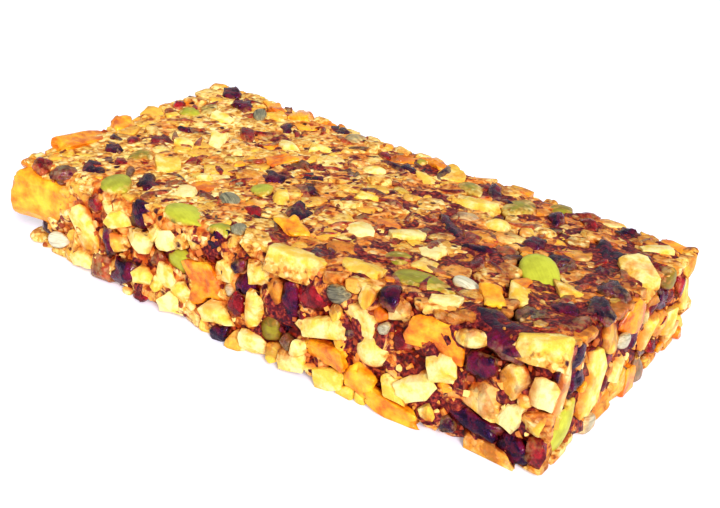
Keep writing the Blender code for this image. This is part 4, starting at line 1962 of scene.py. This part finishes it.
@dataclass(frozen=True)
class ApricotFinish:
    """Dried apricot: orange to yellow, smooth and slightly shiny, deeper where it folds."""

    deep: Colour = linear(204, 100, 12)
    orange: Colour = linear(238, 150, 22)
    yellow: Colour = linear(250, 196, 52)
    roughness: float = 0.33
    wet: float = 0.3

    def make(self) -> bpy.types.Material:
        """Makes the finish.

        Returns:
            The material.
        """
        recipe = Recipe("apricot")
        shade = recipe.plus(recipe.noise(2.6, detail=4.0, rough=0.6), recipe.times(recipe.tone[0], 0.12))
        colour = recipe.ramp(shade, ((0.4, self.deep), (0.55, self.orange), (0.75, self.yellow)))
        recipe.bump(recipe.noise(0.9, detail=5.0, rough=0.6), distance=0.45, strength=0.7)
        inputs = {
            "Base Color": recipe.painted_gap_shade(recipe.stain(colour, 0.35)),
            "Roughness": self.roughness,
            "Specular IOR Level": 0.3,
            "Coat Weight": self.wet,
            "Coat Roughness": 0.2,
        }
        return recipe.finish(inputs)


@dataclass(frozen=True)
class SeedFinish:
    """A shelled seed: fine streaks along it, paler on its rim."""

    name: str
    dark: Colour
    main: Colour
    pale: Colour
    roughness: float = 0.4
    coated: float = 0.45
    streaky: float = 0.25

    def make(self) -> bpy.types.Material:
        """Makes the finish.

        Returns:
            The material.
        """
        recipe = Recipe(self.name)
        stretch = {0: recipe.local_vector, 1: (0.7, 5.0, 2.0)}
        along = recipe.node("ShaderNodeVectorMath", stretch, operation="MULTIPLY").outputs[0]
        streaks = recipe.noise(0.8, detail=4.0, at=along)
        own = recipe.times(recipe.tone[0], 0.35)
        cloud = recipe.times(recipe.noise(2.2), 0.75 - self.streaky)
        shade = recipe.plus(recipe.times(streaks, self.streaky), own, cloud)
        colour = recipe.ramp(shade, ((0.28, self.dark), (0.52, self.main), (0.75, self.pale)))
        recipe.bump(streaks, distance=0.12, strength=0.4)
        inputs = {
            "Base Color": recipe.painted_gap_shade(recipe.stain(recipe.coat(colour, self.coated), 0.4)),
            "Roughness": self.roughness,
            "Specular IOR Level": 0.3,
        }
        return recipe.finish(inputs)


@dataclass(frozen=True)
class BinderFinish:
    """The binder: caramel full of ground nut and fruit, so it is mottled cell by cell."""

    roughness: float = 0.4

    def make(self) -> bpy.types.Material:
        """Makes the finish.

        Returns:
            The material.
        """
        recipe = Recipe("binder")
        colour, bits = recipe.mix()
        grain = recipe.times(recipe.noise(0.6, detail=5.0), 0.6)
        recipe.bump(recipe.plus(grain, bits), distance=0.45, strength=0.8)
        inputs = {
            "Base Color": recipe.painted_gap_shade(recipe.stain(colour)),
            "Roughness": self.roughness,
            "Specular IOR Level": 0.25,
        }
        return recipe.finish(inputs)


@dataclass(frozen=True)
class CrumbFinish:
    """Crumbs of everything in the bar, one colour to a crumb, darkened by painted shade where they lie
    deep.
    """

    colours: Stops = (
        (0.0, linear(246, 212, 130)),
        (0.18, linear(226, 160, 72)),
        (0.5, linear(196, 110, 44)),
        (0.78, linear(150, 64, 28)),
        (0.93, linear(110, 20, 34)),
    )
    roughness: float = 0.45

    def make(self) -> bpy.types.Material:
        """Makes the finish.

        Returns:
            The material.
        """
        recipe = Recipe("crumb")
        colour = recipe.painted_gap_shade(recipe.ramp(recipe.tone[0], self.colours, flat=True))
        recipe.bump(recipe.noise(0.4), distance=0.12, strength=0.5)
        return recipe.finish({"Base Color": colour, "Roughness": self.roughness})


@dataclass(frozen=True)
class Studio:
    """The pale floor, the soft light and the camera at the photograph's viewing angle."""

    focal_px: float = 1150.0
    width_px: int = 720
    azimuth: float = math.radians(33.58)
    elevation: float = math.radians(27.16)
    roll: float = math.radians(4.50)
    eye: tuple[float, float, float] = (97.19, -140.55, 94.31)
    sensor_mm: float = 36.0
    floor_size: float = 4.0
    floor_drop: float = 0.0001
    floor_colour: Colour = (0.80, 0.78, 0.92)
    floor_glow: float = 0.2
    world_light: float = 0.58
    sun_light: float = 3.0
    sun_angle: float = math.radians(18)
    sun_from: tuple[float, float, float] = (0.68, -0.56, 0.58)
    sun_colour: Colour = (1.0, 0.98, 0.95)

    def camera(self) -> None:
        """Makes the camera."""
        flat = Vector((-math.sin(self.azimuth), math.cos(self.azimuth), 0)) * math.cos(self.elevation)
        forward = flat - Vector((0, 0, math.sin(self.elevation)))
        right = forward.cross(Vector((0, 0, 1))).normalized()
        up = right.cross(forward)
        turned = right * math.cos(self.roll) + up * math.sin(self.roll)
        upward = up * math.cos(self.roll) - right * math.sin(self.roll)
        data = bpy.data.cameras.new("camera")
        data.sensor_width = self.sensor_mm
        data.lens = self.focal_px * self.sensor_mm / self.width_px
        data.clip_start = MM
        camera = bpy.data.objects.new("camera", data)
        turn = Matrix((turned, upward, -forward)).transposed().to_4x4()
        camera.matrix_world = Matrix.Translation(Vector(self.eye) * MM) @ turn
        bpy.context.scene.collection.objects.link(camera)
        bpy.context.scene.camera = camera

    def floor(self) -> None:
        """Makes the pale floor under the bar."""
        bm = bmesh.new()
        bmesh.ops.create_grid(bm, x_segments=1, y_segments=1, size=self.floor_size / 2)
        floor = bpy.data.objects.new("floor", to_mesh(bm, "floor"))
        floor.location.z = -self.floor_drop
        bpy.context.scene.collection.objects.link(floor)
        material = bpy.data.materials.new("floor")
        material.use_nodes = True
        inputs = {
            "Base Color": (*self.floor_colour, 1.0),
            "Roughness": 0.9,
            "Specular IOR Level": 0.1,
            "Emission Color": (1.0, 1.0, 1.0, 1.0),
            "Emission Strength": self.floor_glow,
        }
        for name, value in inputs.items():
            material.node_tree.nodes["Principled BSDF"].inputs[name].default_value = value
        floor.data.materials.append(material)
        floor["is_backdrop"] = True

    def lights(self) -> None:
        """Makes the white surround and the soft key light."""
        scene = bpy.context.scene
        scene.world = bpy.data.worlds.new("surround")
        scene.world.use_nodes = True
        surround = scene.world.node_tree.nodes["Background"]
        surround.inputs["Color"].default_value = (1.0, 1.0, 1.0, 1)
        surround.inputs["Strength"].default_value = self.world_light
        key = bpy.data.lights.new("key", "SUN")
        key.energy = self.sun_light
        key.angle = self.sun_angle
        key.color = self.sun_colour
        lamp = bpy.data.objects.new("key", key)
        lamp.rotation_euler = Vector(self.sun_from).to_track_quat("Z", "Y").to_euler()
        scene.collection.objects.link(lamp)

    def make(self) -> None:
        """Makes the whole studio."""
        self.camera()
        self.floor()
        self.lights()
        view = bpy.context.scene.view_settings
        view.view_transform = "Standard"
        view.look = "Medium High Contrast"


UNITS = {
    Kind.NUT: [Nut() if i % 11 else Kernel() for i in range(22)],
    Kind.CHERRY: [Fruit()] * 9,
    Kind.CRANBERRY: [Fruit(lumps=0.18, wrinkles=0.13)] * 9,
    Kind.APRICOT: [Apricot()] * 9,
    Kind.PEPITA: [Seed(rim=0.12)],
    Kind.SUNFLOWER: [Seed(taper=0.3, point=0.5)],
}
FINISHES = {
    Kind.NUT: NutFinish(),
    Kind.CHERRY: FruitFinish(
        name="cherry",
        dark=linear(22, 4, 12),
        light=linear(112, 14, 36),
        bloom=linear(150, 96, 220),
        roughness=0.22,
        coated=0.2,
    ),
    Kind.CRANBERRY: FruitFinish(
        name="cranberry",
        dark=linear(84, 4, 14),
        light=linear(174, 24, 34),
        bloom=linear(240, 130, 150),
        roughness=0.24,
        coated=0.25,
    ),
    Kind.APRICOT: ApricotFinish(),
    Kind.PEPITA: SeedFinish(
        name="pepita",
        dark=linear(108, 88, 34),
        main=linear(152, 150, 40),
        pale=linear(192, 196, 62),
        coated=0.6,
    ),
    Kind.SUNFLOWER: SeedFinish(
        name="sunflower",
        dark=linear(46, 50, 48),
        main=linear(160, 154, 124),
        pale=linear(222, 216, 190),
        streaky=0.6,
    ),
}


@dataclass(frozen=True)
class FruitNutBar:
    """The bar: its binder, the solid's pieces in fine form, chips, shreds and crumbs."""

    unit_seed: int = 7
    tone_seed: int = 11
    clear: float = 0.36
    small_units: int = 12

    def tone(self, piece: Placed, juice: Callable, draw: random.Random) -> Tone:
        """A piece's tone: those that show best are cleaner, and their nuts toasted on the cut sides.

        Args:
            piece: the piece.
            juice: how strongly fruit juice stains a place in the bar.
            draw: the random numbers.

        Returns:
            Its shade, how much caramel coats it, its own offset and its juice.
        """
        shade, glaze, own = tone_for(piece.face, draw)
        near = juice(piece.matrix.translation)
        if not piece.listed:
            return shade, glaze, own, near
        if piece.kind == Kind.NUT and piece.face not in PRESSED:
            return 0.5 * shade, 0.6 * glaze - 0.16, 0.9 * own, 0.8 * near - 0.05
        glaze = 0.6 * glaze - 0.26
        if piece.kind == Kind.NUT:
            shade *= 0.5
        elif piece.kind == Kind.PEPITA:
            glaze += 0.45 * (1 - shade)
        return shade, glaze, 0.7 * own, 0.6 * near - 0.2

    def gather(self, suffix: str, placed: list[Placed], units: dict, finishes: dict) -> Objects:
        """One mesh for each kind of piece.

        Args:
            suffix: what follows the kind in the mesh's name.
            placed: the pieces.
            units: the unit forms of each kind.
            finishes: the finish of each kind.

        Returns:
            The meshes' objects.
        """
        made = []
        draw = random.Random(self.tone_seed)
        for kind in Kind:
            own = [p for p in placed if p.kind == kind]
            if own:
                heap = Heap(f"{kind.value}_{suffix}", units[kind])
                for piece in own:
                    heap.add(piece, draw.randrange(1000))
                made.append(heap.finish(finishes[kind]))
        return made

    def pieces(self, placed: list[Placed], juice: Callable, finishes: dict) -> Objects:
        """The solid's pieces in fine form, those on the top lifted clear of the binder.

        Args:
            placed: the solid's pieces.
            juice: how strongly fruit juice stains a place in the bar.
            finishes: the finish of each kind.

        Returns:
            The meshes' objects.
        """
        tones = random.Random(self.tone_seed)
        forms = random.Random(self.unit_seed)
        for piece in placed:
            piece.tone = self.tone(piece, juice, tones)
            if piece.listed and piece.face == Face.TOP:
                piece.matrix = Matrix.Translation((0, 0, self.clear)) @ piece.matrix
        units = {kind: [unit.make(forms) for unit in own] for kind, own in UNITS.items()}
        return self.gather("pieces", placed, units, finishes)

    def chips(self, placed: list[Placed], juice: Callable, finishes: dict) -> Objects:
        """The chips between the solid's pieces.

        Args:
            placed: the solid's pieces.
            juice: how strongly fruit juice stains a place in the bar.
            finishes: the finish of each kind.

        Returns:
            The meshes' objects.
        """
        chips = MOSAIC.chips(placed, juice)
        LOG.info("%d chips", len(chips))
        made = []
        for kind in Kind:
            heap = Heap(f"{kind.value}_chips")
            for chip in chips:
                if chip.kind == kind:
                    heap.add_chip(chip)
            made.append(heap.finish(finishes[kind]))
        return made

    def make(self) -> None:
        """Builds the bar."""
        finishes = {kind: finish.make() for kind, finish in FINISHES.items()}
        core = add_piece("binder", Binder().make(), BinderFinish().make())
        placed = LAYOUT.pieces()
        LOG.info("%d pieces of the solid", len(placed))
        juice = juices(placed)
        pieces = self.pieces(placed, juice, finishes)
        chips = self.chips(placed, juice, finishes)
        draw = random.Random(self.unit_seed)
        strands = [Shred().make(draw) for _ in range(self.small_units)]
        shreds = SHREDS.drop(surface([core, *pieces, *chips]))
        self.gather("shreds", shreds, dict.fromkeys(Kind, strands), finishes)
        crumbs = Heap("crumbs", [Crumb().make(draw) for _ in range(self.small_units)])
        for index, crumb in enumerate(CRUMBS.drop(surface([core]))):
            crumbs.add(crumb, index)
        crumbs.finish(CrumbFinish().make())


def surface(pieces: Objects) -> BVHTree:
    """What small bits can lie on.

    Args:
        pieces: the pieces that carry them.

    Returns:
        The surface of the pieces, in millimetres.
    """
    bm = bmesh.new()
    for piece in pieces:
        bm.from_mesh(piece.data)
    bmesh.ops.scale(bm, vec=(1 / MM,) * 3, verts=bm.verts)
    tree = BVHTree.FromBMesh(bm)
    bm.free()
    return tree


def corners() -> list[list[float]]:
    """The box of the whole object, as plain numbers."""
    return [[float(c) for c in corner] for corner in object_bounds()]


def main() -> None:
    """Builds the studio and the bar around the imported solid."""
    logging.basicConfig(level=logging.INFO, format="%(message)s")
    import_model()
    Studio().make()
    FruitNutBar().make()
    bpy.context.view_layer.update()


if __name__ == "__main__":
    main()
